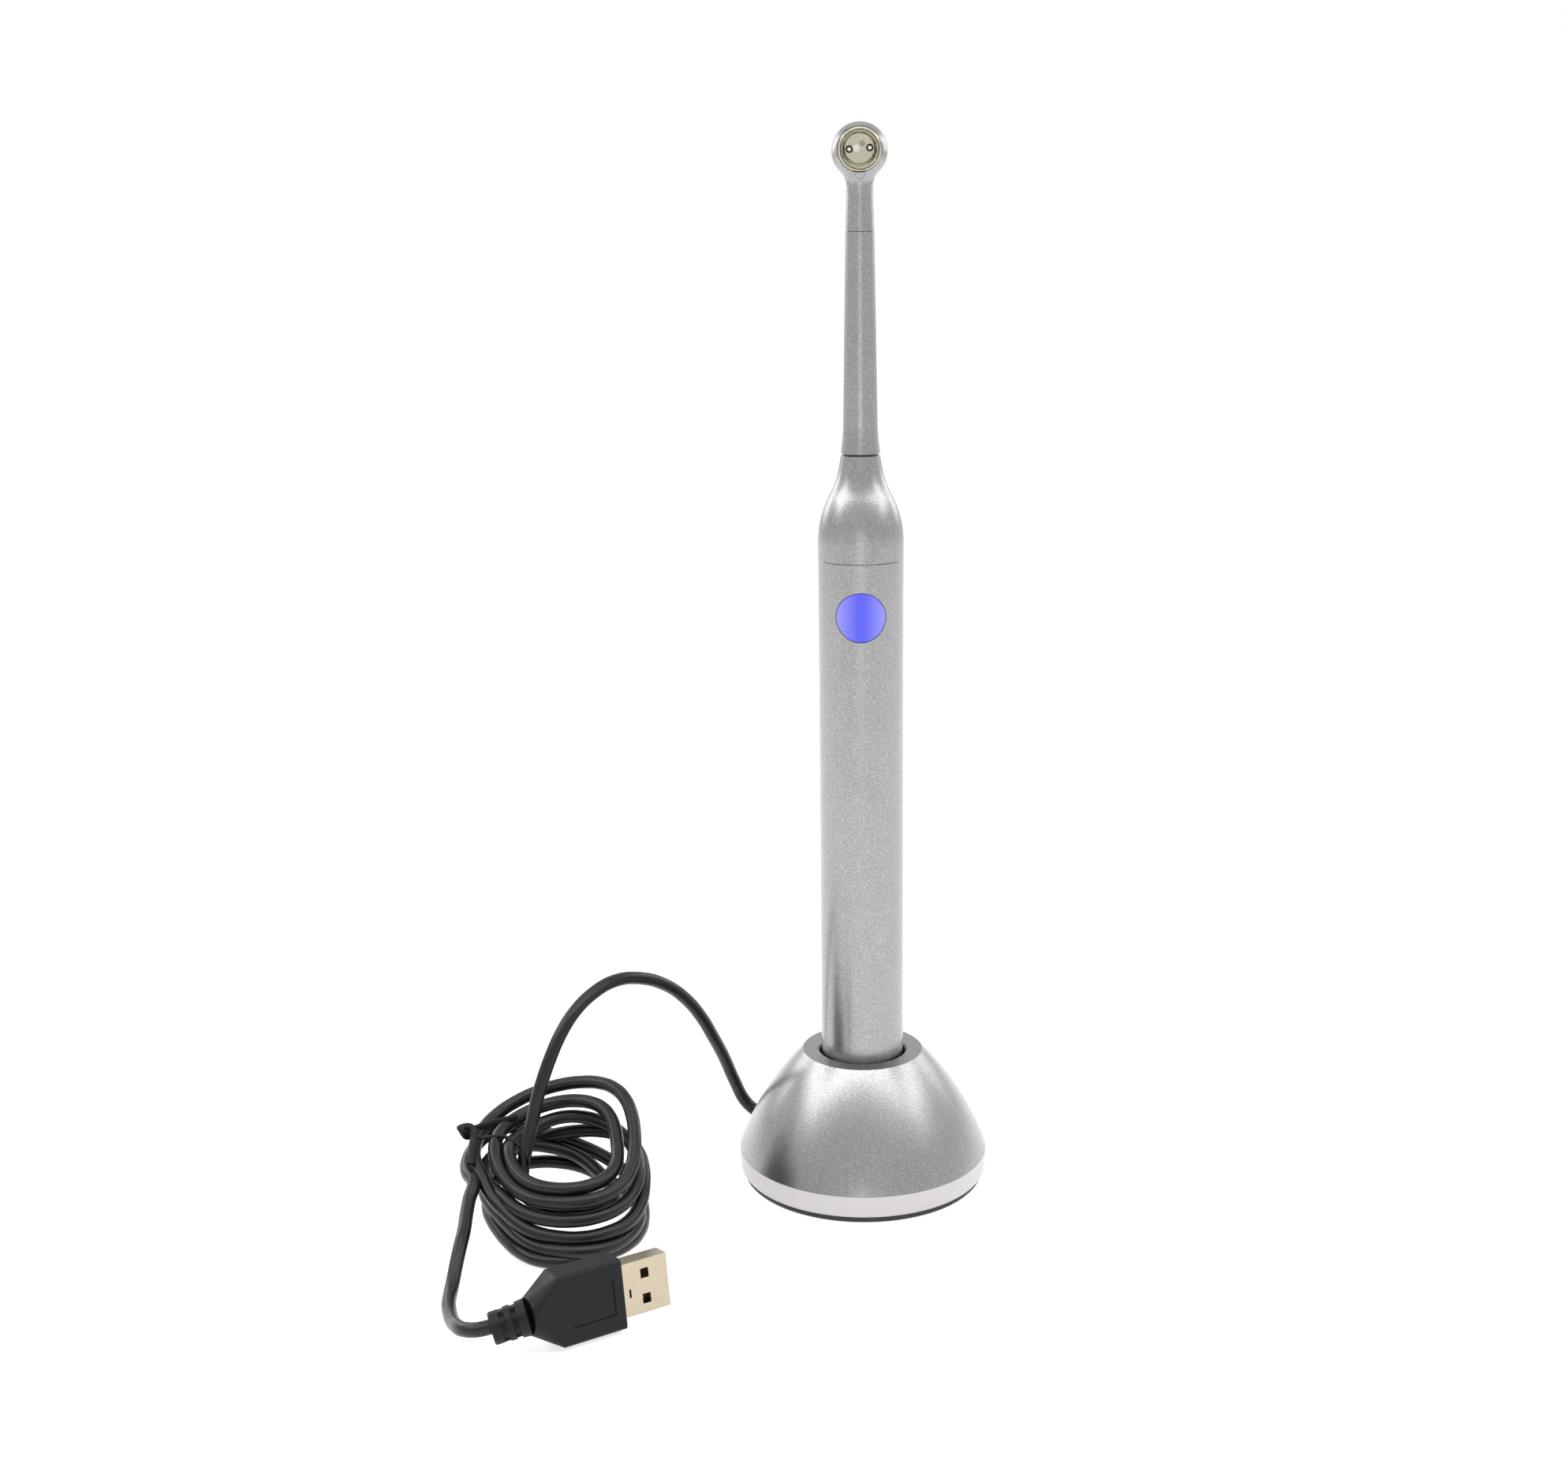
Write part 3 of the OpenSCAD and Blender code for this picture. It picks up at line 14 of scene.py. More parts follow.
import bpy
import numpy as np
from mathutils import Matrix, Vector
from mathutils.bvhtree import BVHTree
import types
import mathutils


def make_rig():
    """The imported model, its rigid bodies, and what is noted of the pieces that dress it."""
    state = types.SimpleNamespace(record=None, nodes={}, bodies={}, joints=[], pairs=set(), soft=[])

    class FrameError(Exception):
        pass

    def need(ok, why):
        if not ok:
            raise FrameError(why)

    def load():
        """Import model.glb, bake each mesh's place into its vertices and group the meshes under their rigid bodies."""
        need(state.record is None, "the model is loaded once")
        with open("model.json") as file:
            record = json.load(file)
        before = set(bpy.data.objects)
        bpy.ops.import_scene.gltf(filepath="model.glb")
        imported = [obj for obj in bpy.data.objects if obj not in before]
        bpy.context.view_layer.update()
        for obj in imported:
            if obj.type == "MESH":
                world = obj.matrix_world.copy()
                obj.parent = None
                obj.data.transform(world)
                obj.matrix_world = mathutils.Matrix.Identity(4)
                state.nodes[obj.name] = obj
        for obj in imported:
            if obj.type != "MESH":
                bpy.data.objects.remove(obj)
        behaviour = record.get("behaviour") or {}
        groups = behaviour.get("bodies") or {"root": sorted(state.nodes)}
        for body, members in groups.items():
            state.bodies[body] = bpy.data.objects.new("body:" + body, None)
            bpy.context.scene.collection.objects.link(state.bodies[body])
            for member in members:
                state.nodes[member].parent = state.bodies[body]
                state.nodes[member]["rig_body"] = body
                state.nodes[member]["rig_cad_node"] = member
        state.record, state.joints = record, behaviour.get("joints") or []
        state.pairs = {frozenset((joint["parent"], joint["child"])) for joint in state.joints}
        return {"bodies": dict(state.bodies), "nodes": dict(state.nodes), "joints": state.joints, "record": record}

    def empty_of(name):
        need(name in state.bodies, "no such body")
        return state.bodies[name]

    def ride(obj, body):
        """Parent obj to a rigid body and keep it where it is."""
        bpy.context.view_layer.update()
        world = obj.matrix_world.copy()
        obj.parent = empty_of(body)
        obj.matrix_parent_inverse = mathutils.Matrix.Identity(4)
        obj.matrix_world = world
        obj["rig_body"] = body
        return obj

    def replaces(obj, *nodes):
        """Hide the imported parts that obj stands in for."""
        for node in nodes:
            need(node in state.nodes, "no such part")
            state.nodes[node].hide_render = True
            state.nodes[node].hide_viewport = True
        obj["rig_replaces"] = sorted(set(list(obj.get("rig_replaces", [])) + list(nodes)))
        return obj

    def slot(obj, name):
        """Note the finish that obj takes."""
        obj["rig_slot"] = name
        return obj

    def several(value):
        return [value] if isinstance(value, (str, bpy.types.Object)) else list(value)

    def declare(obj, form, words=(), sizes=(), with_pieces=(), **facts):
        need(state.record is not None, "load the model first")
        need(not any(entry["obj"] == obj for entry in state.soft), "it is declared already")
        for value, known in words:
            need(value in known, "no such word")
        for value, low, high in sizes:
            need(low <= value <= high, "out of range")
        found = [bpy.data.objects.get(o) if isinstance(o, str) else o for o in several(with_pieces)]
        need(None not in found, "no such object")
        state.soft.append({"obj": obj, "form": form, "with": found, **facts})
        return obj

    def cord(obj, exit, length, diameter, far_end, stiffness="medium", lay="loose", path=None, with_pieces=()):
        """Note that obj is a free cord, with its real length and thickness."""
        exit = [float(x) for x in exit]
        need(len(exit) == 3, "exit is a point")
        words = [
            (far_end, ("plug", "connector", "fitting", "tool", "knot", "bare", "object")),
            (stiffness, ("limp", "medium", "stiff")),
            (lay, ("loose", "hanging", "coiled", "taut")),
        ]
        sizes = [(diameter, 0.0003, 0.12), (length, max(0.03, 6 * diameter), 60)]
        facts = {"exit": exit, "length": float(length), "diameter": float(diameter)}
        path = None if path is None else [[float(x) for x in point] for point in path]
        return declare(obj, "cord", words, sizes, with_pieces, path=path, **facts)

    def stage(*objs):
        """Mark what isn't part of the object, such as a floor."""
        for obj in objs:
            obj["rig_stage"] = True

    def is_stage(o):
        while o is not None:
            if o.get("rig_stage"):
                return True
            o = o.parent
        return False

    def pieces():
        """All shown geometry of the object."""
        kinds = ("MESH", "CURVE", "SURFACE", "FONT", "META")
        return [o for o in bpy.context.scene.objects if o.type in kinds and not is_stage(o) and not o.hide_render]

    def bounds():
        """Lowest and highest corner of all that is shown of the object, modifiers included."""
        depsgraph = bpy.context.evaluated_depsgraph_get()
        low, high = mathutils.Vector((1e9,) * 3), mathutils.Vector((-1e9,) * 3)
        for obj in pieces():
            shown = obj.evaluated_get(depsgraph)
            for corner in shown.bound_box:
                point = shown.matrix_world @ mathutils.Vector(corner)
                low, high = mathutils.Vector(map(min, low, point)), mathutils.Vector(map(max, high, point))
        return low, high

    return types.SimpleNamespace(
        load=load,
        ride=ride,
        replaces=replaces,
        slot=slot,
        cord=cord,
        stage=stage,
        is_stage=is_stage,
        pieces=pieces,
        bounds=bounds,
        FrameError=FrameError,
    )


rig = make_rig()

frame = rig.load()

Rgb = tuple[float, float, float]
Rgba = tuple[float, float, float, float]
Point = tuple[float, float, float]
Steps = tuple[tuple[float, float], ...]
Socket = bpy.types.NodeSocket

MM = 0.001
SAME_PLACE = 1e-7
PHOTO_W = 1568
PHOTO_H = 1471
LONG_SIDE = max(PHOTO_W, PHOTO_H)
SHIFT_X = 0.0
SHIFT_Y = 0.0

log = logging.getLogger("curing_light")

# Where things show in the photograph, in the frame of PHOTO_W by PHOTO_H.
IMAGE_POINTS = {
    "object_left_x": 737.9,
    "object_right_x": 986.3,
    "object_top_y": 120.7,
    "object_bottom_y": 1222.5,
    "head_left": (831.3, 149.9),
    "head_right": (888.1, 149.9),
    "bezel_middle": (858.7, 148.0),
    "left_seal": (849.5, 149.3),
    "right_seal": (870.3, 147.8),
    "neck_seam": (860.1, 231.1),
    "swivel_seam": (860.7, 455.2),
    "shoulder_seam": (860.9, 565.3),
    "button_middle": (860.9, 618.3),
    "rim_front": (861.0, 1069.5),
    "silver_seam_front": (861.0, 1197.3),
    "foot_seam_front": (862.0, 1217.8),
    "dark_weld_mark": (862.4, 143.4),
    "pale_weld_mark": (856.2, 148.0),
    "tie_knot": (467.0, 1131.0),
    "tie_free_end": (516.3, 1117.1),
}


class Slot(Enum):
    """The record's material slots."""

    SATIN_METAL = "satin_metal"
    PALE_RING = "pale_ring"
    FOOT_RUBBER = "foot_rubber"
    PLAIN_STEEL = "plain_steel"
    BLACK_PLASTIC = "black_plastic"
    WHITE_PLASTIC = "white_plastic"
    BOARD_GREEN = "board_green"
    BOARD_BLACK = "board_black"
    GOLD_CONTACT = "gold_contact"
    BEZEL_NICKEL = "bezel_nickel"
    REFLECTOR_GOLD = "reflector_gold"
    HEADER_METAL = "header_metal"
    SEAL_GLASS = "seal_glass"
    COPPER = "copper"
    WINDOW_GLASS = "window_glass"
    BUTTON_BLUE = "button_blue"
    CELL_WRAP = "cell_wrap"
    LEAD_RED = "lead_red"
    BEARING_BLACK = "bearing_black"
    O_RING = "o_ring"
    CORD_BLACK = "cord_black"
    GRIP_BLACK = "grip_black"
    PLUG_NICKEL = "plug_nickel"


# ---- materials


class Recipe:
    """A material's nodes, added from the pattern towards the surface."""

    def __init__(self, name: str) -> None:
        """Starts a material with its surface shader.

        Args:
            name: The material's name.
        """
        self.material = bpy.data.materials.new(name)
        self.material.use_nodes = True
        self.tree = self.material.node_tree
        self.surface = self.tree.nodes["Principled BSDF"]

    def add(
        self, kind: str, inputs: dict[str | int, object] | None = None, **settings: object
    ) -> bpy.types.Node:
        """Adds a node and fills its sockets.

        Args:
            kind: The node type's name without its ShaderNode prefix.
            inputs: A value or an output socket for each input's name or number.
            **settings: The node's own settings.

        Returns:
            The new node.
        """
        node = self.tree.nodes.new("ShaderNode" + kind)
        for setting, value in settings.items():
            setattr(node, setting, value)
        for socket, value in (inputs or {}).items():
            self.feed(node.inputs[socket], value)
        return node

    def feed(self, socket: Socket, value: object) -> None:
        """Links an output into a socket, or sets the socket's own value.

        Args:
            socket: The input to fill.
            value: An output socket or a plain value.
        """
        if isinstance(value, Socket):
            self.tree.links.new(value, socket)
        else:
            socket.default_value = value

    def place(self, stretch: Point = (1, 1, 1)) -> Socket:
        """The point on the object, each axis multiplied by its stretch.

        Args:
            stretch: The factor of each axis.

        Returns:
            The output socket with the point.
        """
        where = self.add("TexCoord").outputs["Object"]
        return self.add("Mapping", {"Vector": where, "Scale": stretch}).outputs[0]

    def noise(self, size_mm: float, detail: float = 2.0, stretch: Point = (1, 1, 1)) -> Socket:
        """Cloudy noise.

        Args:
            size_mm: The size of a cloud.
            detail: How many finer layers it has.
            stretch: The factor of each axis.

        Returns:
            The output socket with a value from 0 to 1.
        """
        inputs = {
            "Vector": self.place(stretch),
            "Scale": 1 / (size_mm * MM),
            "Detail": detail,
        }
        return self.add("TexNoise", inputs).outputs[0]

    def between(
        self, factor: Socket, low: float, high: float, start: float = 0.3, end: float = 0.7
    ) -> Socket:
        """Spreads a factor over a range.

        Args:
            factor: The output socket to spread.
            low: The result at start and under it.
            high: The result at end and over it.
            start: The factor that gives low.
            end: The factor that gives high.

        Returns:
            The output socket with the result.
        """
        names = ("Value", "From Min", "From Max", "To Min", "To Max")
        values = (factor, start, end, low, high)
        return self.add("MapRange", dict(zip(names, values))).outputs[0]

    def blend(self, factor: Socket, first: Rgba | Socket, second: Rgba | Socket) -> Socket:
        """A colour between two.

        Args:
            factor: The share of the second colour, from 0 to 1.
            first: The colour at 0, or an output socket.
            second: The colour at 1, or an output socket.

        Returns:
            The output socket with the colour.
        """
        mixer = self.add("Mix", data_type="RGBA")
        for socket, value in zip((0, 6, 7), (factor, first, second)):
            self.feed(mixer.inputs[socket], value)
        return mixer.outputs[2]

    def relief(self, height: Socket, depth_mm: float) -> None:
        """Raises the surface by a height, as fine bumps.

        Args:
            height: The output socket with the height, from 0 to 1.
            depth_mm: How far 1 stands over 0.
        """
        inputs = {"Height": height, "Distance": depth_mm * MM, "Strength": 1.0}
        self.feed(self.surface.inputs["Normal"], self.add("Bump", inputs).outputs[0])

    def finish(self, **sockets: object) -> None:
        """Fills the surface shader's sockets.

        Args:
            **sockets: A value or an output for each, with _ for a space.
        """
        for name, value in sockets.items():
            self.feed(self.surface.inputs[name.replace("_", " ")], value)


def rgba(colour: Rgb) -> Rgba:
    """The colour with full cover."""
    return (*colour, 1.0)


@dataclass(frozen=True)
class BlastedMetal:
    """Metal blasted with fine beads, with slow patches of tone and wear."""

    tone: Rgb
    shade: Rgb
    roughness: float = 0.3
    cloud_mm: float = 9.0
    grain_mm: float = 0.32
    depth_mm: float = 0.011
    sparkle: float = 0.16

    def fill(self, recipe: Recipe) -> None:
        """Fills a material.

        Args:
            recipe: Its nodes.
        """
        cloud = recipe.noise(self.cloud_mm, 3.0)
        grain = recipe.noise(self.grain_mm, 3.0)
        wear = recipe.noise(self.cloud_mm * 3, 4.0, (1, 1, 0.4))
        tone = recipe.blend(cloud, rgba(self.shade), rgba(self.tone))
        pits = recipe.between(grain, self.sparkle, 0.0, 0.3, 0.5)
        peaks = recipe.between(grain, 0.0, self.sparkle, 0.5, 0.7)
        pitted = recipe.blend(pits, tone, rgba((0.02, 0.02, 0.02)))
        recipe.relief(grain, self.depth_mm)
        recipe.finish(
            Metallic=1.0,
            Base_Color=recipe.blend(peaks, pitted, rgba((1, 1, 1))),
            Roughness=recipe.between(wear, self.roughness - 0.03, self.roughness + 0.05),
        )


@dataclass(frozen=True)
class TurnedMetal:
    """Metal with the fine rings that a lathe tool leaves round the vertical."""

    tone: Rgb
    shade: Rgb
    roughness: float = 0.2
    ring_mm: float = 0.12
    depth_mm: float = 0.0015
    stretch: Point = (0.04, 0.04, 1.0)

    def fill(self, recipe: Recipe) -> None:
        """Fills a material.

        Args:
            recipe: Its nodes.
        """
        rings = recipe.noise(self.ring_mm, 2.0, self.stretch)
        cloud = recipe.noise(3.0, 3.0)
        recipe.relief(rings, self.depth_mm)
        recipe.finish(
            Metallic=1.0,
            Base_Color=recipe.blend(cloud, rgba(self.shade), rgba(self.tone)),
            Roughness=recipe.between(rings, self.roughness - 0.04, self.roughness + 0.06),
        )


@dataclass(frozen=True)
class Moulding:
    """Moulded plastic or rubber with the fine grain of its mould."""

    tone: Rgb
    shade: Rgb
    roughness: float = 0.5
    grain_mm: float = 0.25
    depth_mm: float = 0.008
    cloud_mm: float = 6.0
    gloss: float = 0.5

    def fill(self, recipe: Recipe) -> None:
        """Fills a material.

        Args:
            recipe: Its nodes.
        """
        grain = recipe.noise(self.grain_mm, 2.0)
        cloud = recipe.noise(self.cloud_mm, 3.0)
        recipe.relief(grain, self.depth_mm)
        recipe.finish(
            Specular_IOR_Level=self.gloss,
            Base_Color=recipe.blend(cloud, rgba(self.shade), rgba(self.tone)),
            Roughness=recipe.between(cloud, self.roughness - 0.05, self.roughness + 0.06),
        )


@dataclass(frozen=True)
class ReflectionPaintedButton:
    """Blue plastic with a painted reflection that makes it paler towards the sides of the button."""

    middle: Rgb
    # The colour at the sides, lightened by painted reflection.
    side: Rgb
    half_width_mm: float = 5.6
    middle_share: float = 0.12
    roughness: float = 0.3

    def fill(self, recipe: Recipe) -> None:
        """Fills a material.

        Args:
            recipe: Its nodes.
        """
        grain = recipe.noise(0.3, 2.0)
        place = recipe.add("SeparateXYZ", {0: recipe.place()})
        across = recipe.add("Math", {0: place.outputs[0]}, operation="ABSOLUTE")
        inner = self.middle_share * self.half_width_mm * MM
        # The sides get lighter with distance from the middle: a painted reflection of the bright room.
        share = recipe.between(across.outputs[0], 0.0, 1.0, inner, self.half_width_mm * MM)
        recipe.relief(grain, 0.004)
        recipe.finish(
            Base_Color=recipe.blend(share, rgba(self.middle), rgba(self.side)),
            Roughness=recipe.between(grain, self.roughness, self.roughness + 0.1),
        )


def middle_of(node: str) -> Vector:
    """The mean of a node's vertices."""
    corners = frame["nodes"][node].data.vertices
    return sum((v.co for v in corners), Vector()) / len(corners)


@dataclass(frozen=True)
class LampRing:
    """Plated metal painted in rings of light and shade round the lamp's axis: painted shade in its corners and gaps,
    painted highlights between them.
    """

    # Each radius in mm with its colour there: the dark ones are painted shade, the pale ones painted highlights.
    rings: tuple[tuple[float, Rgb], ...]
    roughness: float
    worn_share: float = 0.12
    worn_tone: Rgb = (0.05, 0.045, 0.035)

    def fill(self, recipe: Recipe) -> None:
        """Fills a material round the axis from the header to the bezel.

        Args:
            recipe: Its nodes.
        """
        front = middle_of("bezel_ring")
        arm = recipe.add("VectorMath", {0: recipe.place(), 1: front}, operation="SUBTRACT")
        axis = (front - middle_of("lamp_header")).normalized()
        inputs = {0: arm.outputs[0], 1: axis}
        across = recipe.add("VectorMath", inputs, operation="CROSS_PRODUCT")
        length = recipe.add("VectorMath", {0: across.outputs[0]}, operation="LENGTH")
        radius = length.outputs["Value"]
        cloud = recipe.noise(1.2, 4.0)
        # Paints the bands of light and shade by radius from the axis, from the inner ring outwards.
        colour = rgba(self.rings[0][1])
        for (start_mm, _), (end_mm, tint) in zip(self.rings, self.rings[1:]):
            share = recipe.between(radius, 0.0, 1.0, start_mm * MM, end_mm * MM)
            colour = recipe.blend(share, colour, rgba(tint))
        worn = recipe.between(cloud, self.worn_share, 0.0)
        recipe.finish(
            Metallic=1.0,
            Base_Color=recipe.blend(worn, colour, rgba(self.worn_tone)),
            Roughness=recipe.between(cloud, self.roughness, self.roughness + 0.1),
        )


@dataclass(frozen=True)
class MarkedHeader:
    """Plated sheet with a dark and a pale round mark on it."""

    tone: Rgb
    shade: Rgb
    marks: tuple[tuple[str, Rgb, float], ...]
    roughness: float = 0.26
    mark_share: float = 0.55
    edge_starts: float = 0.86

    def fill(self, recipe: Recipe) -> None:
        """Fills a material; place() later sets where its marks are.

        Args:
            recipe: Its nodes.
        """
        cloud = recipe.noise(1.6, 4.0)
        colour = recipe.blend(cloud, rgba(self.shade), rgba(self.tone))
        for name, tint, radius_mm in self.marks:
            spot = recipe.add("VectorMath", {0: recipe.place()}, operation="DISTANCE")
            spot.name = name
            edge = (self.edge_starts * radius_mm * MM, radius_mm * MM)
            share = recipe.between(spot.outputs["Value"], self.mark_share, 0.0, *edge)
            colour = recipe.blend(share, colour, rgba(tint))
        recipe.relief(recipe.noise(0.4, 2.0), 0.001)
        recipe.finish(
            Metallic=1.0,
            Base_Color=colour,
            Roughness=recipe.between(cloud, self.roughness - 0.05, self.roughness + 0.08),
        )

    def place(
        self, material: bpy.types.Material, header: BVHTree, camera: "PhotoCamera"
    ) -> None:
        """Puts each mark where the photograph shows it.

        Args:
            material: The built material.
            header: The tree of the header's surface.
            camera: The photograph's camera.
        """
        for name, _, _ in self.marks:
            spot = material.node_tree.nodes[name]
            spot.inputs[1].default_value = camera.meet(header, *IMAGE_POINTS[name])


@dataclass(frozen=True)
class PrintedBoard:
    """A circuit board: a lacquer over copper tracks that show through it."""

    lacquer: Rgb
    track: Rgb
    cell_mm: float = 1.6

    def fill(self, recipe: Recipe) -> None:
        """Fills a material.

        Args:
            recipe: Its nodes.
        """
        inputs = {"Vector": recipe.place(), "Scale": 1 / (self.cell_mm * MM)}
        cells = recipe.add("TexVoronoi", inputs, distance="CHEBYCHEV", feature="F1")
        lines = recipe.between(cells.outputs["Distance"], 0.0, 1.0, 0.42, 0.5)
        recipe.relief(lines, 0.02)
        recipe.finish(
            Base_Color=recipe.blend(lines, rgba(self.lacquer), rgba(self.track)),
            Roughness=recipe.between(recipe.noise(2.0), 0.25, 0.4),
        )


@dataclass(frozen=True)
class ClearGlass:
    """Clear glass with a faint haze on it."""

    tone: Rgb
    ior: float = 1.12
    haze_tone: float = 0.97
    haze_roughness: float = 0.012

    def fill(self, recipe: Recipe) -> None:
        """Fills a material; the low IOR stands for a coating against glare.

        Args:
            recipe: Its nodes.
        """
        haze = recipe.noise(1.5, 4.0)
        dull = tuple(self.haze_tone * c for c in self.tone)
        recipe.finish(
            Transmission_Weight=1.0,
            IOR=self.ior,
            Base_Color=recipe.blend(haze, rgba(dull), rgba(self.tone)),
            Roughness=recipe.between(haze, 0.0, self.haze_roughness),
        )


@dataclass(frozen=True)
class TwistedLead:
    """A thin lead's jacket with faint marks along it."""

    tone: Rgb
    shade: Rgb

    def fill(self, recipe: Recipe) -> None:
        """Fills a material.

        Args:
            recipe: Its nodes.
        """
        marks = recipe.noise(0.8, 2.0, (1, 1, 0.1))
        recipe.relief(recipe.noise(0.2), 0.004)
        recipe.finish(
            Base_Color=recipe.blend(marks, rgba(self.shade), rgba(self.tone)),
            Roughness=recipe.between(marks, 0.35, 0.5),
        )


Finish = (
    BlastedMetal
    | TurnedMetal
    | Moulding
    | ReflectionPaintedButton
    | LampRing
    | MarkedHeader
    | PrintedBoard
    | ClearGlass
    | TwistedLead
)

FINISHES: dict[Slot, Finish] = {
    Slot.SATIN_METAL: BlastedMetal((0.285, 0.285, 0.29), (0.25, 0.25, 0.255)),
    Slot.PALE_RING: Moulding(
        (0.74, 0.715, 0.705), (0.69, 0.67, 0.66),
        roughness=0.45, grain_mm=0.2, depth_mm=0.004,
    ),
    Slot.FOOT_RUBBER: Moulding((0.02, 0.02, 0.022), (0.012, 0.012, 0.014), roughness=0.6),
    Slot.PLAIN_STEEL: TurnedMetal((0.6, 0.6, 0.62), (0.5, 0.5, 0.53), roughness=0.3),
    Slot.BLACK_PLASTIC: Moulding((0.02, 0.02, 0.022), (0.014, 0.014, 0.016)),
    Slot.WHITE_PLASTIC: Moulding((0.8, 0.8, 0.77), (0.72, 0.72, 0.69), roughness=0.45),
    Slot.BOARD_GREEN: PrintedBoard((0.012, 0.1, 0.04), (0.03, 0.2, 0.08)),
    Slot.BOARD_BLACK: Moulding(
        (0.035, 0.035, 0.04), (0.02, 0.02, 0.022), roughness=0.4, grain_mm=0.3
    ),
    Slot.GOLD_CONTACT: TurnedMetal((0.95, 0.68, 0.3), (0.85, 0.58, 0.25), roughness=0.16),
    # The dark rings are painted shade in the gaps and corners, the pale rings painted highlights.
    Slot.BEZEL_NICKEL: LampRing(
        (
            (4.2, (0.5, 0.48, 0.38)),
            (4.3, (0.02, 0.018, 0.014)),
            (4.5, (0.16, 0.15, 0.11)),
            (4.72, (0.52, 0.5, 0.4)),
            (4.9, (0.24, 0.23, 0.17)),
            (5.02, (0.02, 0.02, 0.018)),
        ),
        roughness=0.2,
    ),
    # The dark rings are painted shade in the gaps and corners, the pale rings painted highlights.
    Slot.REFLECTOR_GOLD: LampRing(
        (
            (3.36, (0.06, 0.055, 0.04)),
            (3.5, (0.6, 0.57, 0.45)),
            (3.62, (0.4, 0.37, 0.27)),
            (3.95, (0.62, 0.58, 0.44)),
            (4.3, (0.42, 0.39, 0.29)),
            (4.42, (0.03, 0.028, 0.022)),
        ),
        roughness=0.26,
    ),
    Slot.HEADER_METAL: MarkedHeader(
        (0.37, 0.345, 0.275),
        (0.27, 0.25, 0.2),
        marks=(
            ("dark_weld_mark", (0.12, 0.11, 0.09), 0.74),
            ("pale_weld_mark", (0.55, 0.53, 0.45), 0.9),
        ),
    ),
    Slot.SEAL_GLASS: Moulding(
        (0.005, 0.005, 0.006), (0.01, 0.009, 0.01),
        roughness=0.3, grain_mm=0.2, depth_mm=0.002, gloss=0.15,
    ),
    Slot.COPPER: TurnedMetal((0.9, 0.5, 0.34), (0.75, 0.38, 0.25), roughness=0.3),
    Slot.WINDOW_GLASS: ClearGlass((0.98, 0.99, 0.99)),
    # The button's paler sides are a painted reflection.
    Slot.BUTTON_BLUE: ReflectionPaintedButton((0.1, 0.115, 0.95), (0.33, 0.33, 1.0)),
    Slot.CELL_WRAP: Moulding(
        (0.03, 0.2, 0.42), (0.02, 0.15, 0.34),
        roughness=0.3, grain_mm=1.5, depth_mm=0.02,
    ),
    Slot.LEAD_RED: TwistedLead((0.5, 0.03, 0.02), (0.36, 0.02, 0.015)),
    Slot.BEARING_BLACK: Moulding((0.03, 0.03, 0.032), (0.02, 0.02, 0.021), roughness=0.35),
    Slot.O_RING: Moulding(
        (0.015, 0.015, 0.016), (0.01, 0.01, 0.011),
        roughness=0.3, grain_mm=0.2, depth_mm=0.002,
    ),
    Slot.CORD_BLACK: Moulding(
        (0.009, 0.009, 0.0105), (0.005, 0.005, 0.0065),
        roughness=0.32, grain_mm=0.35, gloss=0.32,
    ),
    Slot.GRIP_BLACK: Moulding(
        (0.008, 0.008, 0.0095), (0.0045, 0.0045, 0.006),
        grain_mm=0.3, depth_mm=0.02, gloss=0.22,
    ),
    Slot.PLUG_NICKEL: BlastedMetal(
        (0.44, 0.38, 0.29), (0.38, 0.32, 0.235),
        roughness=0.24, cloud_mm=4.0, grain_mm=0.3, depth_mm=0.003, sparkle=0.06,
    ),
}


class Wardrobe:
    """Holds one material for each slot and dresses pieces from it."""

    def __init__(self) -> None:
        """Builds every finish once."""
        self.materials: dict[Slot, bpy.types.Material] = {}
        for slot in Slot:
            recipe = Recipe(slot.value)
            FINISHES[slot].fill(recipe)
            self.materials[slot] = recipe.material

    def dress(self, piece: bpy.types.Object, slot: Slot) -> None:
        """Gives a piece its finish.

        Args:
            piece: The mesh or curve.
            slot: The record's slot.
        """
        piece.data.materials.clear()
        piece.data.materials.append(self.materials[slot])
        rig.slot(piece, slot.value)

    def dress_nodes(self) -> None:
        """Gives each of the part's nodes the finish that the record names."""
        for row in frame["record"]["subparts"]:
            piece = frame["nodes"][row["node"]]
            self.dress(piece, Slot(row["material_slot"]))
            log.info("node %s: %s", row["node"], row["material_slot"])


# ---- camera


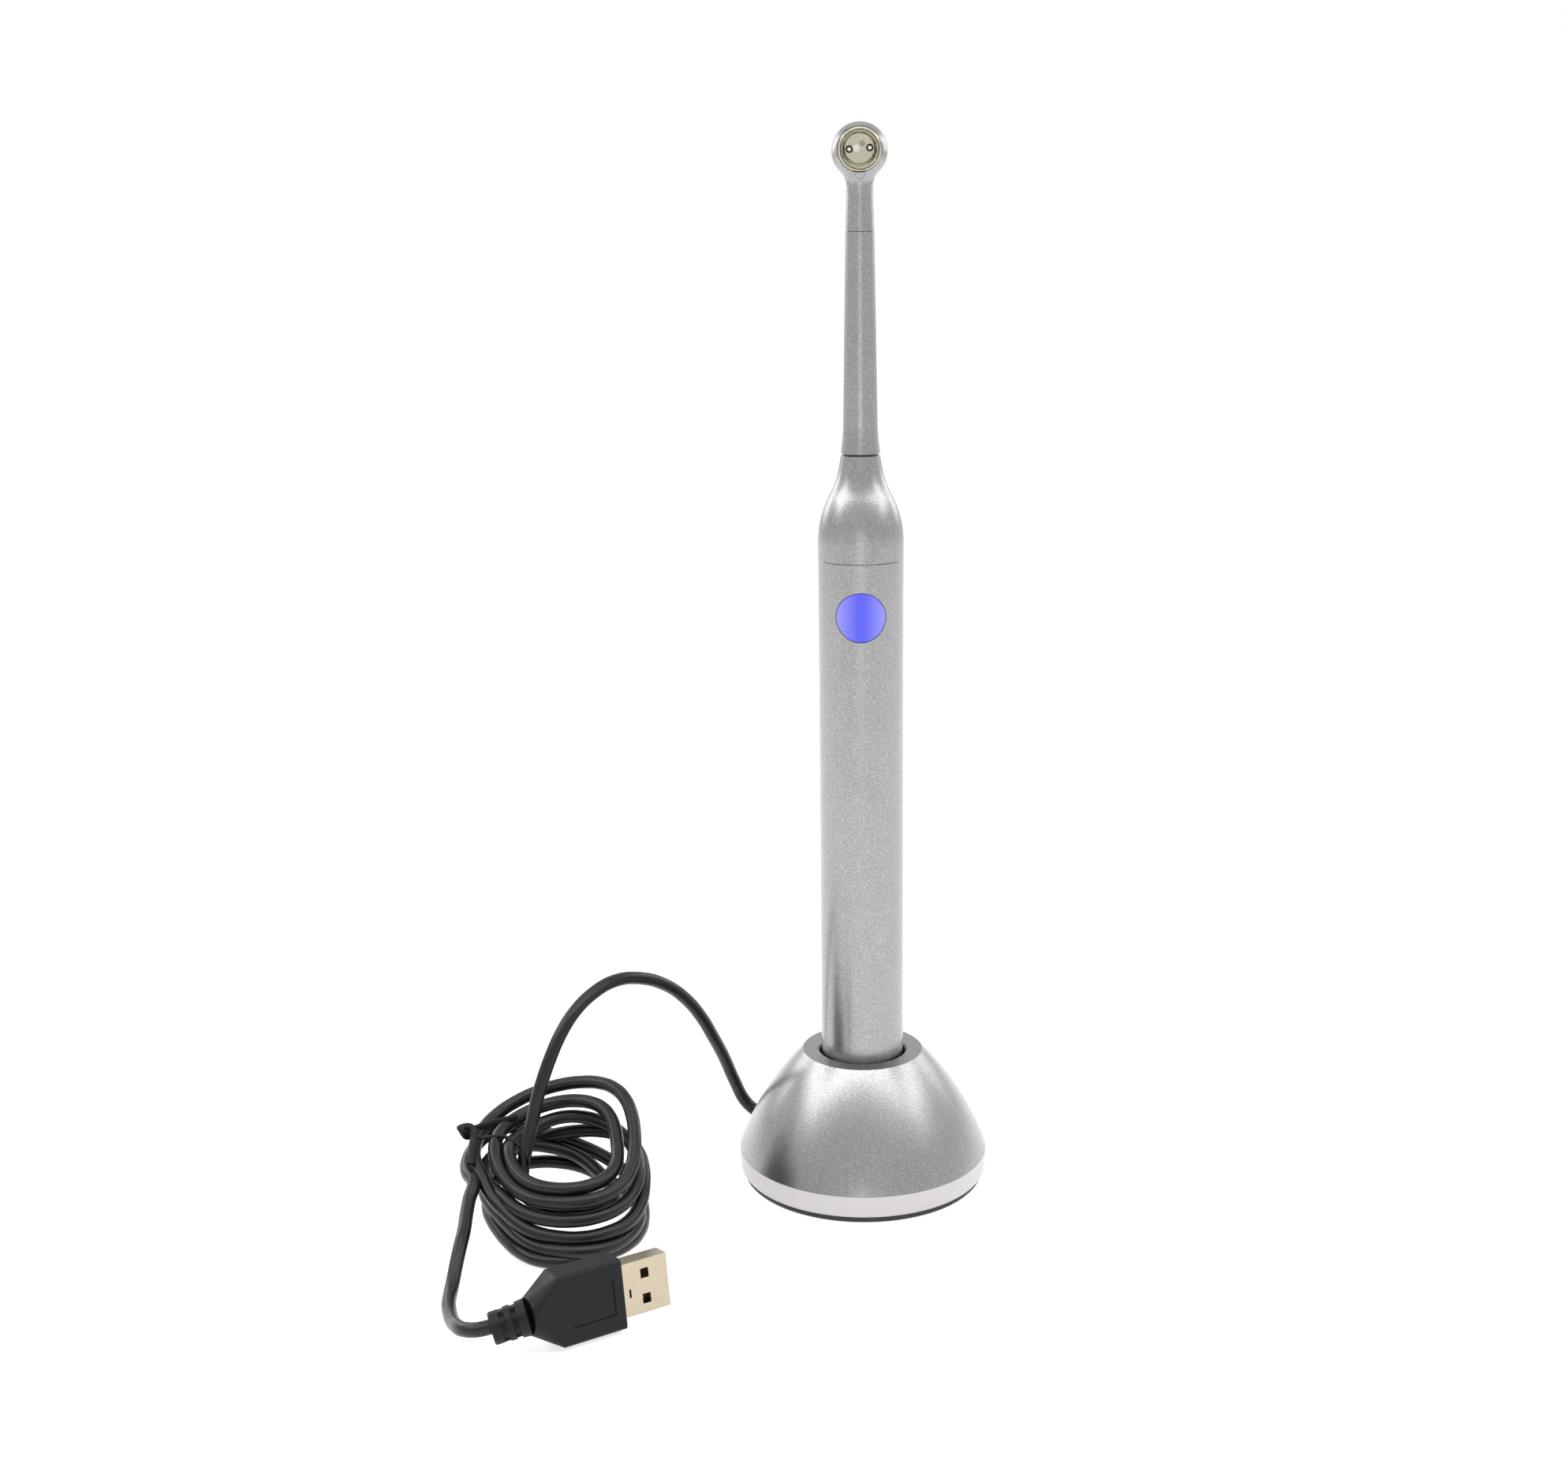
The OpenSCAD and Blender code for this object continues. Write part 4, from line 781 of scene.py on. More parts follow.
@dataclass(frozen=True)
class PhotoCamera:
    """The photograph's camera, found from the dock's and barrel's ellipses."""

    lens_mm: float = 48.765
    sensor_mm: float = 36.0
    place: Point = (0.00161, -0.5, 0.23617)
    yaw_deg: float = 2.333
    pitch_deg: float = 13.738
    roll_deg: float = -0.695
    search_from: float = 0.3
    search_steps: int = 400

    def axes(self) -> Matrix:
        """Works out where the camera's own axes point.

        Returns:
            Its right, up and back directions, as columns.
        """
        yaw, pitch, roll = (
            math.radians(a) for a in (self.yaw_deg, self.pitch_deg, self.roll_deg)
        )
        ahead = Vector(
            (
                -math.sin(yaw) * math.cos(pitch),
                math.cos(yaw) * math.cos(pitch),
                -math.sin(pitch),
            )
        )
        right = ahead.cross(Vector((0, 0, 1))).normalized()
        above = right.cross(ahead)
        across = math.cos(roll) * right + math.sin(roll) * above
        upward = math.cos(roll) * above - math.sin(roll) * right
        return Matrix((across, upward, -ahead)).transposed()

    def build(self) -> bpy.types.Object:
        """Makes the camera the scene's own.

        Returns:
            The camera object.
        """
        data = bpy.data.cameras.new("photo_camera")
        data.lens = self.lens_mm
        data.sensor_width = self.sensor_mm
        data.sensor_fit = "AUTO"
        data.shift_x = SHIFT_X
        data.shift_y = SHIFT_Y
        data.clip_start = 0.01
        data.clip_end = 20.0
        camera = bpy.data.objects.new("photo_camera", data)
        camera.matrix_world = Matrix.Translation(self.place) @ self.axes().to_4x4()
        bpy.context.scene.collection.objects.link(camera)
        bpy.context.scene.camera = camera
        return camera

    def ray(self, x: float, y: float) -> Vector:
        """The direction that an image point looks along.

        Args:
            x: Image points from the left edge.
            y: Image points from the top edge.

        Returns:
            The unit direction in the part's frame.
        """
        local = Vector(
            (
                x - PHOTO_W / 2 + SHIFT_X * LONG_SIDE,
                PHOTO_H / 2 - y + SHIFT_Y * LONG_SIDE,
                -LONG_SIDE * self.lens_mm / self.sensor_mm,
            )
        )
        return (self.axes() @ local).normalized()

    def show(self, point: Vector) -> tuple[float, float]:
        """Where a point of the part's frame shows in the image.

        Args:
            point: The point.

        Returns:
            Its x and y in image points.
        """
        local = self.axes().transposed() @ (Vector(point) - Vector(self.place))
        zoom = LONG_SIDE * self.lens_mm / self.sensor_mm / -local.z
        return (
            PHOTO_W / 2 - SHIFT_X * LONG_SIDE + local.x * zoom,
            PHOTO_H / 2 + SHIFT_Y * LONG_SIDE - local.y * zoom,
        )

    def meet(self, carrier: BVHTree, x: float, y: float) -> Vector:
        """The place on a carrier that shows at an image point.

        Args:
            carrier: The tree of the surface as placed.
            x: Image points from the left edge.
            y: Image points from the top edge.

        Returns:
            The place, or the one nearest the ray where the ray misses.
        """
        start = Vector(self.place)
        way = self.ray(x, y)
        hit = carrier.ray_cast(start, way)[0]
        if hit is not None:
            return hit
        along = (self.search_from + MM * n for n in range(self.search_steps))
        near = [carrier.find_nearest(start + way * distance) for distance in along]
        return min(near, key=lambda found: found[3])[0]


# ---- helpers


def deselect() -> None:
    """Leaves nothing selected."""
    for piece in bpy.context.selected_objects:
        piece.select_set(False)


def smooth(values: np.ndarray, rounds: int) -> np.ndarray:
    """Evens out a row of points, with its ends kept.

    Args:
        values: The points.
        rounds: How often each point moves to the middle of its neighbours.

    Returns:
        The even row.
    """
    for _ in range(rounds):
        values[1:-1] = 0.5 * values[1:-1] + 0.25 * (values[:-2] + values[2:])
    return values


def curve_through(name: str, points: np.ndarray, width: float) -> bpy.types.Object:
    """A round open curve through points.

    Args:
        name: The piece's name.
        points: The points of its centreline.
        width: Its diameter.

    Returns:
        The curve object.
    """
    data = bpy.data.curves.new(name, "CURVE")
    data.dimensions = "3D"
    data.bevel_depth = width / 2
    data.bevel_resolution = 5
    data.resolution_u = 4
    data.use_fill_caps = True
    line = data.splines.new("BEZIER")
    line.bezier_points.add(len(points) - 1)
    for knot, point in zip(line.bezier_points, points):
        knot.co = point
        knot.handle_left_type = knot.handle_right_type = "AUTO"
    piece = bpy.data.objects.new(name, data)
    bpy.context.scene.collection.objects.link(piece)
    return piece


def surface_of(piece: bpy.types.Object) -> BVHTree:
    """The finished surface of a piece.

    Args:
        piece: A mesh or a curve.

    Returns:
        The tree of its faces, as placed.
    """
    shown = piece.evaluated_get(bpy.context.evaluated_depsgraph_get())
    mesh = shown.to_mesh()
    corners = [piece.matrix_world @ v.co for v in mesh.vertices]
    tree = BVHTree.FromPolygons(corners, [tuple(f.vertices) for f in mesh.polygons])
    shown.to_mesh_clear()
    return tree


def settle_in_place(piece: bpy.types.Object) -> None:
    """Moves a piece's place into its mesh and leaves its faces outwards.

    Args:
        piece: The mesh.
    """
    deselect()
    piece.select_set(True)
    bpy.context.view_layer.objects.active = piece
    bpy.ops.object.transform_apply(location=True, rotation=True, scale=True)
    bpy.ops.object.mode_set(mode="EDIT")
    bpy.ops.mesh.select_all(action="SELECT")
    bpy.ops.mesh.remove_doubles(threshold=SAME_PLACE)
    bpy.ops.mesh.normals_make_consistent(inside=False)
    bpy.ops.object.mode_set(mode="OBJECT")
    bpy.ops.object.shade_smooth()


# ---- cord


@dataclass
class TwistTie:
    """A black twist tie on the turns: a knot, a free end, a wire and a tail.

    The steps are in image points, from the knot.
    """

    camera: PhotoCamera
    turns: BVHTree
    wire_mm: float = 1.0
    leaf_mm: tuple[float, float] = (1.3, 1.7)
    tail_mm: tuple[float, float] = (2.1, 1.8)
    soft_end_mm: float = 0.12
    leaf_steps: Steps = ((9, -3), (29, -9))
    wire_steps: Steps = ((4, 3), (14, 7), (35, 4), (51, 13), (60, 24), (62, 33))
    tail_steps: Steps = ((8, -2), (7, 8), (5, 20), (3.5, 33))
    knot_mm: tuple[float, float] = (1.45, 1.05)
    knot_turn: Point = (0.9, 0.5, 0.2)
    knot_stretch: Point = (1.1, 0.85, 0.85)
    knot_twist_deg: float = 150
    sink_mm: float = 2.0
    even_rounds: int = 6

    def run(self, points: Steps, count: int, stand_mm: float) -> list[Vector]:
        """A smooth line that lies on the turns where the image shows it.

        Args:
            points: Image points that it passes.
            count: How many points the line has.
            stand_mm: How far it stands off the turns.

        Returns:
            The line's points.
        """
        marks = np.array(points)
        steps = np.linspace(0, len(marks) - 1, count)
        xs = np.interp(steps, range(len(marks)), marks[:, 0])
        ys = np.interp(steps, range(len(marks)), marks[:, 1])
        eye = Vector(self.camera.place)
        depth = [(self.camera.meet(self.turns, x, y) - eye).length for x, y in zip(xs, ys)]
        deepest = np.median(depth) + self.sink_mm * MM
        level = smooth(np.minimum(depth, deepest), self.even_rounds)
        return [
            eye + self.camera.ray(x, y) * float(d - stand_mm * MM)
            for x, y, d in zip(xs, ys, level)
        ]

    def strand(self, name: str, line: list[Vector], wide: float, thick: float) -> bpy.types.Object:
        """A flat strand that is extruded along a line.

        Args:
            name: The strand's name.
            line: Its middle.
            wide: Its width in mm.
            thick: Its thickness in mm.

        Returns:
            The strand's mesh object.
        """
        deselect()
        first = line[1] - line[0]
        turn = first.to_track_quat("Z", "Y")
        bpy.ops.mesh.primitive_cylinder_add(
            vertices=12,
            radius=0.5 * MM,
            depth=0.02 * MM,
            location=line[0],
            rotation=turn.to_euler(),
        )
        strand = bpy.context.active_object
        strand.name = name
        strand.scale = (wide, thick, 1.0)
        bpy.ops.object.transform_apply(location=True, rotation=True, scale=True)
        bpy.ops.object.mode_set(mode="EDIT")
        bpy.ops.mesh.select_all(action="DESELECT")
        bpy.ops.object.mode_set(mode="OBJECT")
        for face in strand.data.polygons:
            face.select = face.normal.dot(first) > 0.9 * first.length
        bpy.ops.object.mode_set(mode="EDIT")
        for here, there in zip(line, line[1:]):
            move = {"value": there - here}
            bpy.ops.mesh.extrude_region_move(TRANSFORM_OT_translate=move)
        bpy.ops.object.mode_set(mode="OBJECT")
        bevel = strand.modifiers.new("soft_ends", "BEVEL")
        bevel.width = self.soft_end_mm * MM
        bevel.segments = 2
        bpy.ops.object.modifier_apply(modifier=bevel.name)
        return strand

    def knot(self, middle: Vector) -> bpy.types.Object:
        """The twisted lump where both ends cross.

        Args:
            middle: Its middle.

        Returns:
            The lump's mesh object.
        """
        deselect()
        bpy.ops.mesh.primitive_torus_add(
            major_segments=28,
            minor_segments=14,
            major_radius=self.knot_mm[0] * MM,
            minor_radius=self.knot_mm[1] * MM,
            location=middle,
            rotation=self.knot_turn,
        )
        lump = bpy.context.active_object
        lump.scale = self.knot_stretch
        twist = lump.modifiers.new("twist", "SIMPLE_DEFORM")
        twist.deform_method = "TWIST"
        twist.deform_axis = "X"
        twist.angle = math.radians(self.knot_twist_deg)
        bpy.ops.object.modifier_apply(modifier=twist.name)
        return lump

    def build(self, wardrobe: Wardrobe) -> bpy.types.Object:
        """Makes the tie in the place of the part's plain one.

        Args:
            wardrobe: The finishes.

        Returns:
            The tie's mesh object.
        """
        knot, free = IMAGE_POINTS["tie_knot"], IMAGE_POINTS["tie_free_end"]
        leaf, wire, tail = (
            tuple((knot[0] + right, knot[1] + down) for right, down in steps)
            for steps in (self.leaf_steps, self.wire_steps, self.tail_steps)
        )
        over = self.run((knot, *leaf, free), count=14, stand_mm=1.0)
        bow = self.run(wire, count=20, stand_mm=0.7)
        hang = self.run(tail, count=10, stand_mm=1.1)
        pieces = [
            self.strand("twist_tie_set", over, *self.leaf_mm),
            self.strand("tie_wire", bow, self.wire_mm, self.wire_mm),
            self.strand("tie_tail", hang, *self.tail_mm),
            self.knot(over[0]),
        ]
        deselect()
        for piece in pieces:
            piece.select_set(True)
        bpy.context.view_layer.objects.active = pieces[0]
        bpy.ops.object.join()
        tie = bpy.context.active_object
        settle_in_place(tie)
        wardrobe.dress(tie, Slot.GRIP_BLACK)
        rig.ride(tie, "dock")
        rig.replaces(tie, "twist_tie")
        log.info("twist tie: %d faces", len(tie.data.polygons))
        return tie


@dataclass(frozen=True)
class ChargingCord:
    """The cord from the dock's gland over its arch into the coil and to the plug.

    Each row of turns_mm is a turn of radius and height pairs, an eighth apart. It starts
    near left and goes round by the front. The first row lacks its first two pairs, because
    the lead comes in there. The last turn touches the table in front and climbs to the tail.
    """

    diameter: float = 3.3 * MM
    exit_mm: Point = (-25.36, 21.28, 4.9)
    lead_mm: tuple[Point, ...] = (
        (-26.28, 22.05, 4.9),
        (-27.7, 23, 5.3),
        (-29.8, 23.9, 6.6),
        (-31.5, 24.1, 8.5),
        (-32.6, 23.7, 10.8),
        (-33.5, 22.8, 13.5),
        (-34.5, 21.7, 16.5),
        (-35.6, 20.2, 20.3),
        (-37, 17.9, 24.9),
        (-38.8, 15.1, 30),
        (-41.2, 12.3, 36),
        (-44.7, 9, 42.2),
        (-49.5, 4.5, 47.9),
        (-55.5, -1.6, 52),
        (-61, -7.6, 53.5),
        (-65.6, -12.8, 52.3),
        (-69.6, -17.6, 49.4),
        (-72.6, -21.2, 45.2),
        (-74.9, -24, 40.3),
        (-76.7, -26.2, 35.4),
        (-78.1, -27.9, 30.6),
        (-79.2, -29.5, 25.4),
        (-80.3, -31.2, 20.8),
        (-81, -33, 16.9),
        (-81.2, -34.7, 14.2),
        (-80.8, -36.5, 12.2),
        (-79.8, -38.3, 10.8),
        (-78.1, -40.1, 10),
        (-75.9, -41.8, 9.7),
    )
    tail_mm: tuple[Point, ...] = (
        (-91.9, -40, 14.6),
        (-92.3, -44, 12.7),
        (-92.2, -49, 11),
        (-91.9, -54, 9.6),
        (-92, -59, 7.8),
        (-92.3, -62.5, 5.4),
        (-92.5, -66, 3),
        (-92.5, -69.5, 1.9),
        (-92.1, -73.5, 1.72),
        (-91.1, -77.6, 1.8),
        (-89.9, -81.5, 2.4),
        (-88.5, -85.2, 3.3),
        (-87.1, -88.3, 4.3),
        (-86.1, -90.1, 4.9),
        (-84.7, -91.6, 5.5),
        (-82.9, -92.6, 6),
        (-81, -93, 6.5),
        (-79.1, -92.8, 6.91),
    )
    coil_mid_mm: tuple[float, float] = (-73.0, -31.0)
    turns_mm: tuple[Steps, ...] = (
        ((17.2, 9.6), (13.6, 8.0), (13.4, 7.6), (16.9, 11.2),
         (18.6, 14.4), (18.6, 13.8)),
        ((16.8, 12.0), (19.2, 10.2), (22.8, 11.4), (19.6, 15.8),
         (17.6, 19.4), (16.6, 20.8), (13.9, 19.0), (12.0, 19.6)),
        ((12.6, 16.7), (15.7, 16.3), (18.4, 17.4), (14.4, 20.9),
         (14.8, 25.3), (16.6, 24.8), (17.2, 22.0), (15.6, 19.6)),
        ((14.2, 15.2), (17.6, 14.2), (22.0, 15.5), (18.8, 22.2),
         (19.4, 28.9), (21.4, 27.5), (22.8, 22.6), (21.0, 17.4)),
        ((17.4, 11.0), (20.8, 5.9), (24.5, 6.8), (20.8, 13.0),
         (20.4, 16.4), (17.9, 15.9), (20.8, 11.9), (18.6, 9.0)),
        ((16.2, 6.0), (21.9, 3.8), (24.4, 4.0), (19.2, 4.9),
         (17.0, 4.2), (20.2, 6.4), (20.2, 8.0), (17.8, 5.2)),
        ((17.2, 3.0), (23.0, 1.65), (23.6, 1.65), (20.2, 1.65),
         (20.4, 7.0), (20.6, 12.0), (22.2, 18.4), (22.8, 15.4)),
    )
    first_angle: float = 315.0
    points_per_eighth: int = 3
    neighbours: int = 4
    push_share: float = 0.3
    even_share: float = 0.04
    hold_share: float = 0.06
    over_table_mm: float = 0.06
    rounds: int = 60

    def turns(self) -> np.ndarray:
        """Works out the turns between the lead's end and the tail's start.

        Returns:
            Their points in mm.
        """
        mid = np.array((*self.coil_mid_mm, 0.0))
        rows = [self.polar(self.lead_mm[-1])]
        pairs = (pair for turn in self.turns_mm for pair in turn)
        for index, (radius, height) in enumerate(pairs):
            rows.append((self.first_angle + 45 * index, radius, height))
        angle, radius, height = self.polar(self.tail_mm[0])
        rows.append((angle + 360 * len(self.turns_mm), radius, height))
        rows = np.array(rows)
        steps = int((rows[-1, 0] - rows[0, 0]) / 45 * self.points_per_eighth)
        along = np.linspace(rows[0, 0], rows[-1, 0], steps + 1)[1:-1]
        radius = self.spread(rows[:, 0], rows[:, 1], along)
        height = self.spread(rows[:, 0], rows[:, 2], along)
        turn = np.radians(along)
        return mid + np.stack([radius * np.cos(turn), radius * np.sin(turn), height], 1)

    def polar(self, point: Point) -> Point:
        """A point's angle in degrees round the coil's middle, its radius and its height."""
        x, y = point[0] - self.coil_mid_mm[0], point[1] - self.coil_mid_mm[1]
        return math.degrees(math.atan2(y, x)) % 360, math.hypot(x, y), point[2]

    @staticmethod
    def spread(places: np.ndarray, values: np.ndarray, along: np.ndarray) -> np.ndarray:
        """Smooth values between rows, each piece a cubic that keeps its slope.

        Args:
            places: Where the rows are.
            values: The rows' values.
            along: Where values are wanted.

        Returns:
            The values there.
        """
        slope = np.gradient(values, places)
        at = np.clip(np.searchsorted(places, along) - 1, 0, len(places) - 2)
        gap = places[at + 1] - places[at]
        t = (along - places[at]) / gap
        return (
            (2 * t**3 - 3 * t**2 + 1) * values[at]
            + (t**3 - 2 * t**2 + t) * gap * slope[at]
            + (3 * t**2 - 2 * t**3) * values[at + 1]
            + (t**3 - t**2) * gap * slope[at + 1]
        )

    def settle(self, points: np.ndarray, free: slice) -> np.ndarray:
        """Lets the turns push each other apart and keeps them over the table.

        It eases strands that overlap, but doesn't part all of them: some stay closer
        than the cord is wide.

        Args:
            points: All points of the cord in mm.
            free: The points that may move.

        Returns:
            The settled points.
        """
        wide = self.diameter / MM
        start = points.copy()
        index = np.arange(len(points))
        far = np.abs(index[:, None] - index[None, :]) > self.neighbours
        for _ in range(self.rounds):
            gap = points[:, None, :] - points[None, :, :]
            away = np.linalg.norm(gap, axis=2) + 1e-9
            press = np.where(far & (away < wide), (wide - away) / away, 0.0)
            push = (gap * press[:, :, None]).sum(axis=1) * self.push_share
            bend = np.zeros_like(points)
            bend[1:-1] = 0.5 * (points[:-2] + points[2:]) - points[1:-1]
            step = push + self.even_share * bend + self.hold_share * (start - points)
            points[free] += step[free]
            points[free, 2] = np.maximum(points[free, 2], wide / 2 + self.over_table_mm)
        return points

    def route(self) -> np.ndarray:
        """Joins the lead, the turns and the tail.

        Returns:
            All points of the cord in metres, from the gland to the plug's boot.
        """
        lead = np.array((self.exit_mm, *self.lead_mm))
        tail = np.array(self.tail_mm)
        points = np.concatenate([lead, self.turns(), tail])
        free = slice(len(lead), len(points) - len(tail))
        return self.settle(points, free) * MM

    def build(self, wardrobe: Wardrobe, camera: PhotoCamera) -> bpy.types.Object:
        """Args:
            wardrobe: The finishes.
            camera: The photograph's camera.

        Returns:
            The cord's curve.
        """
        route = self.route()
        cord = curve_through("charging_cord", route, self.diameter)
        wardrobe.dress(cord, Slot.CORD_BLACK)
        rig.ride(cord, "dock")
        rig.replaces(cord, "cord_lead", "cord_coil", "cord_tail")
        tie = TwistTie(camera, surface_of(cord)).build(wardrobe)
        length = float(np.linalg.norm(np.diff(route, axis=0), axis=1).sum())
        nodes = ("plug_grip", "plug_shell", "plug_tongue", "plug_contacts")
        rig.cord(
            cord,
            exit=[c * MM for c in self.exit_mm],
            length=round(length, 3),
            diameter=self.diameter,
            far_end="plug",
            stiffness="limp",
            lay="coiled",
            with_pieces=[tie, *(frame["nodes"][n] for n in nodes)],
        )
        log.info("cord: %.3f m", length)
        return cord


# ---- studio


@dataclass(frozen=True)
class Lamp:
    """One soft box that faces a point."""

    name: str
    place: Point
    aim: Point
    size: tuple[float, float]
    radiance: float

    def build(self) -> bpy.types.Object:
        """Hangs the lamp.

        Returns:
            The lamp object.
        """
        data = bpy.data.lights.new(self.name, "AREA")
        data.shape = "RECTANGLE"
        data.size, data.size_y = self.size
        data.energy = self.radiance * math.pi * self.size[0] * self.size[1]
        lamp = bpy.data.objects.new(self.name, data)
        way = Vector(self.aim) - Vector(self.place)
        turn = way.to_track_quat("-Z", "Y").to_matrix().to_4x4()
        lamp.matrix_world = Matrix.Translation(self.place) @ turn
        bpy.context.scene.collection.objects.link(lamp)
        return lamp


def in_view(tree: bpy.types.NodeTree) -> Socket:
    """Tells the rays that show the room from those that only light the part.

    Args:
        tree: The nodes of a material or of the world.

    Returns:
        The output socket with 1 for a camera, glossy or transmission ray, else 0.
    """
    path = tree.nodes.new("ShaderNodeLightPath")
    found = path.outputs["Is Camera Ray"]
    for name in ("Is Glossy Ray", "Is Transmission Ray"):
        either = tree.nodes.new("ShaderNodeMath")
        either.operation = "MAXIMUM"
        tree.links.new(found, either.inputs[0])
        tree.links.new(path.outputs[name], either.inputs[1])
        found = either.outputs[0]
    return found


@dataclass(frozen=True)
class Studio:
    """A pale table that runs out of sight, a pale room and soft boxes."""

    lamps: tuple[Lamp, ...] = (
        Lamp("overhead_strip", (0.0, -0.45, 1.1), (0, 0, 0.1), (2.0, 0.26), 5.4),
        Lamp("left_panel", (-1.0, 0.0, 0.85), (0, 0, 0.1), (0.9, 0.32), 4.0),
        Lamp("right_panel", (1.0, 0.05, 0.8), (0, 0, 0.1), (0.9, 0.32), 3.6),
        Lamp("back_left", (-0.8, 0.75, 0.5), (0, 0, 0.2), (0.6, 0.5), 2.4),
        Lamp("back_right", (0.8, 0.8, 0.5), (0, 0, 0.2), (0.6, 0.5), 2.2),
        Lamp("front_panel", (0.0, -1.3, 0.1), (0, 0, 0.1), (0.4, 0.4), 1.6),
        Lamp("top_panel", (0.0, 0.1, 1.25), (0, 0, 0.1), (1.0, 0.5), 2.0),
    )
    room: float = 0.36
    glow: float = 0.72
    table_side: float = 8.0

    def floor(self) -> bpy.types.Object:
        """Lays the table top, which the camera sees white but for the shadow.

        Returns:
            The floor object.
        """
        deselect()
        bpy.ops.mesh.primitive_plane_add(size=self.table_side, location=(0, 0, 0))
        floor = bpy.context.active_object
        floor.name = "studio_floor"
        recipe = Recipe("studio_floor")
        cloud = recipe.noise(400.0, 2.0)
        tone = recipe.blend(cloud, rgba((0.86, 0.86, 0.86)), rgba((0.88, 0.88, 0.88)))
        recipe.finish(Base_Color=tone, Roughness=0.9)
        recipe.feed(recipe.surface.inputs["Specular IOR Level"], 0.0)
        glow = recipe.add("Emission", {"Color": rgba((1, 1, 1)), "Strength": self.glow})
        both = recipe.add("AddShader", {0: recipe.surface.outputs[0], 1: glow.outputs[0]})
        picked = recipe.add(
            "MixShader",
            {0: in_view(recipe.tree), 1: recipe.surface.outputs[0], 2: both.outputs[0]},
        )
        output = recipe.tree.nodes["Material Output"]
        recipe.feed(output.inputs["Surface"], picked.outputs[0])
        floor.data.materials.append(recipe.material)
        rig.stage(floor)
        return floor

    def sky(self) -> None:
        """Lights the room evenly and shows it white behind the part."""
        world = bpy.data.worlds.new("pale_room")
        bpy.context.scene.world = world
        world.use_nodes = True
        nodes, links = world.node_tree.nodes, world.node_tree.links
        back = nodes["Background"]
        level = nodes.new("ShaderNodeMapRange")
        links.new(in_view(world.node_tree), level.inputs["Value"])
        level.inputs["To Min"].default_value = self.room
        level.inputs["To Max"].default_value = 1.0
        back.inputs["Color"].default_value = (1, 1, 1, 1)
        links.new(level.outputs[0], back.inputs["Strength"])

    def build(self) -> None:
        """Sets up the table, the room, the lamps and the view."""
        self.floor()
        self.sky()
        for lamp in self.lamps:
            lamp.build()
            log.info("lamp %s", lamp.name)
        bpy.context.scene.view_settings.view_transform = "Standard"


# ---- measures


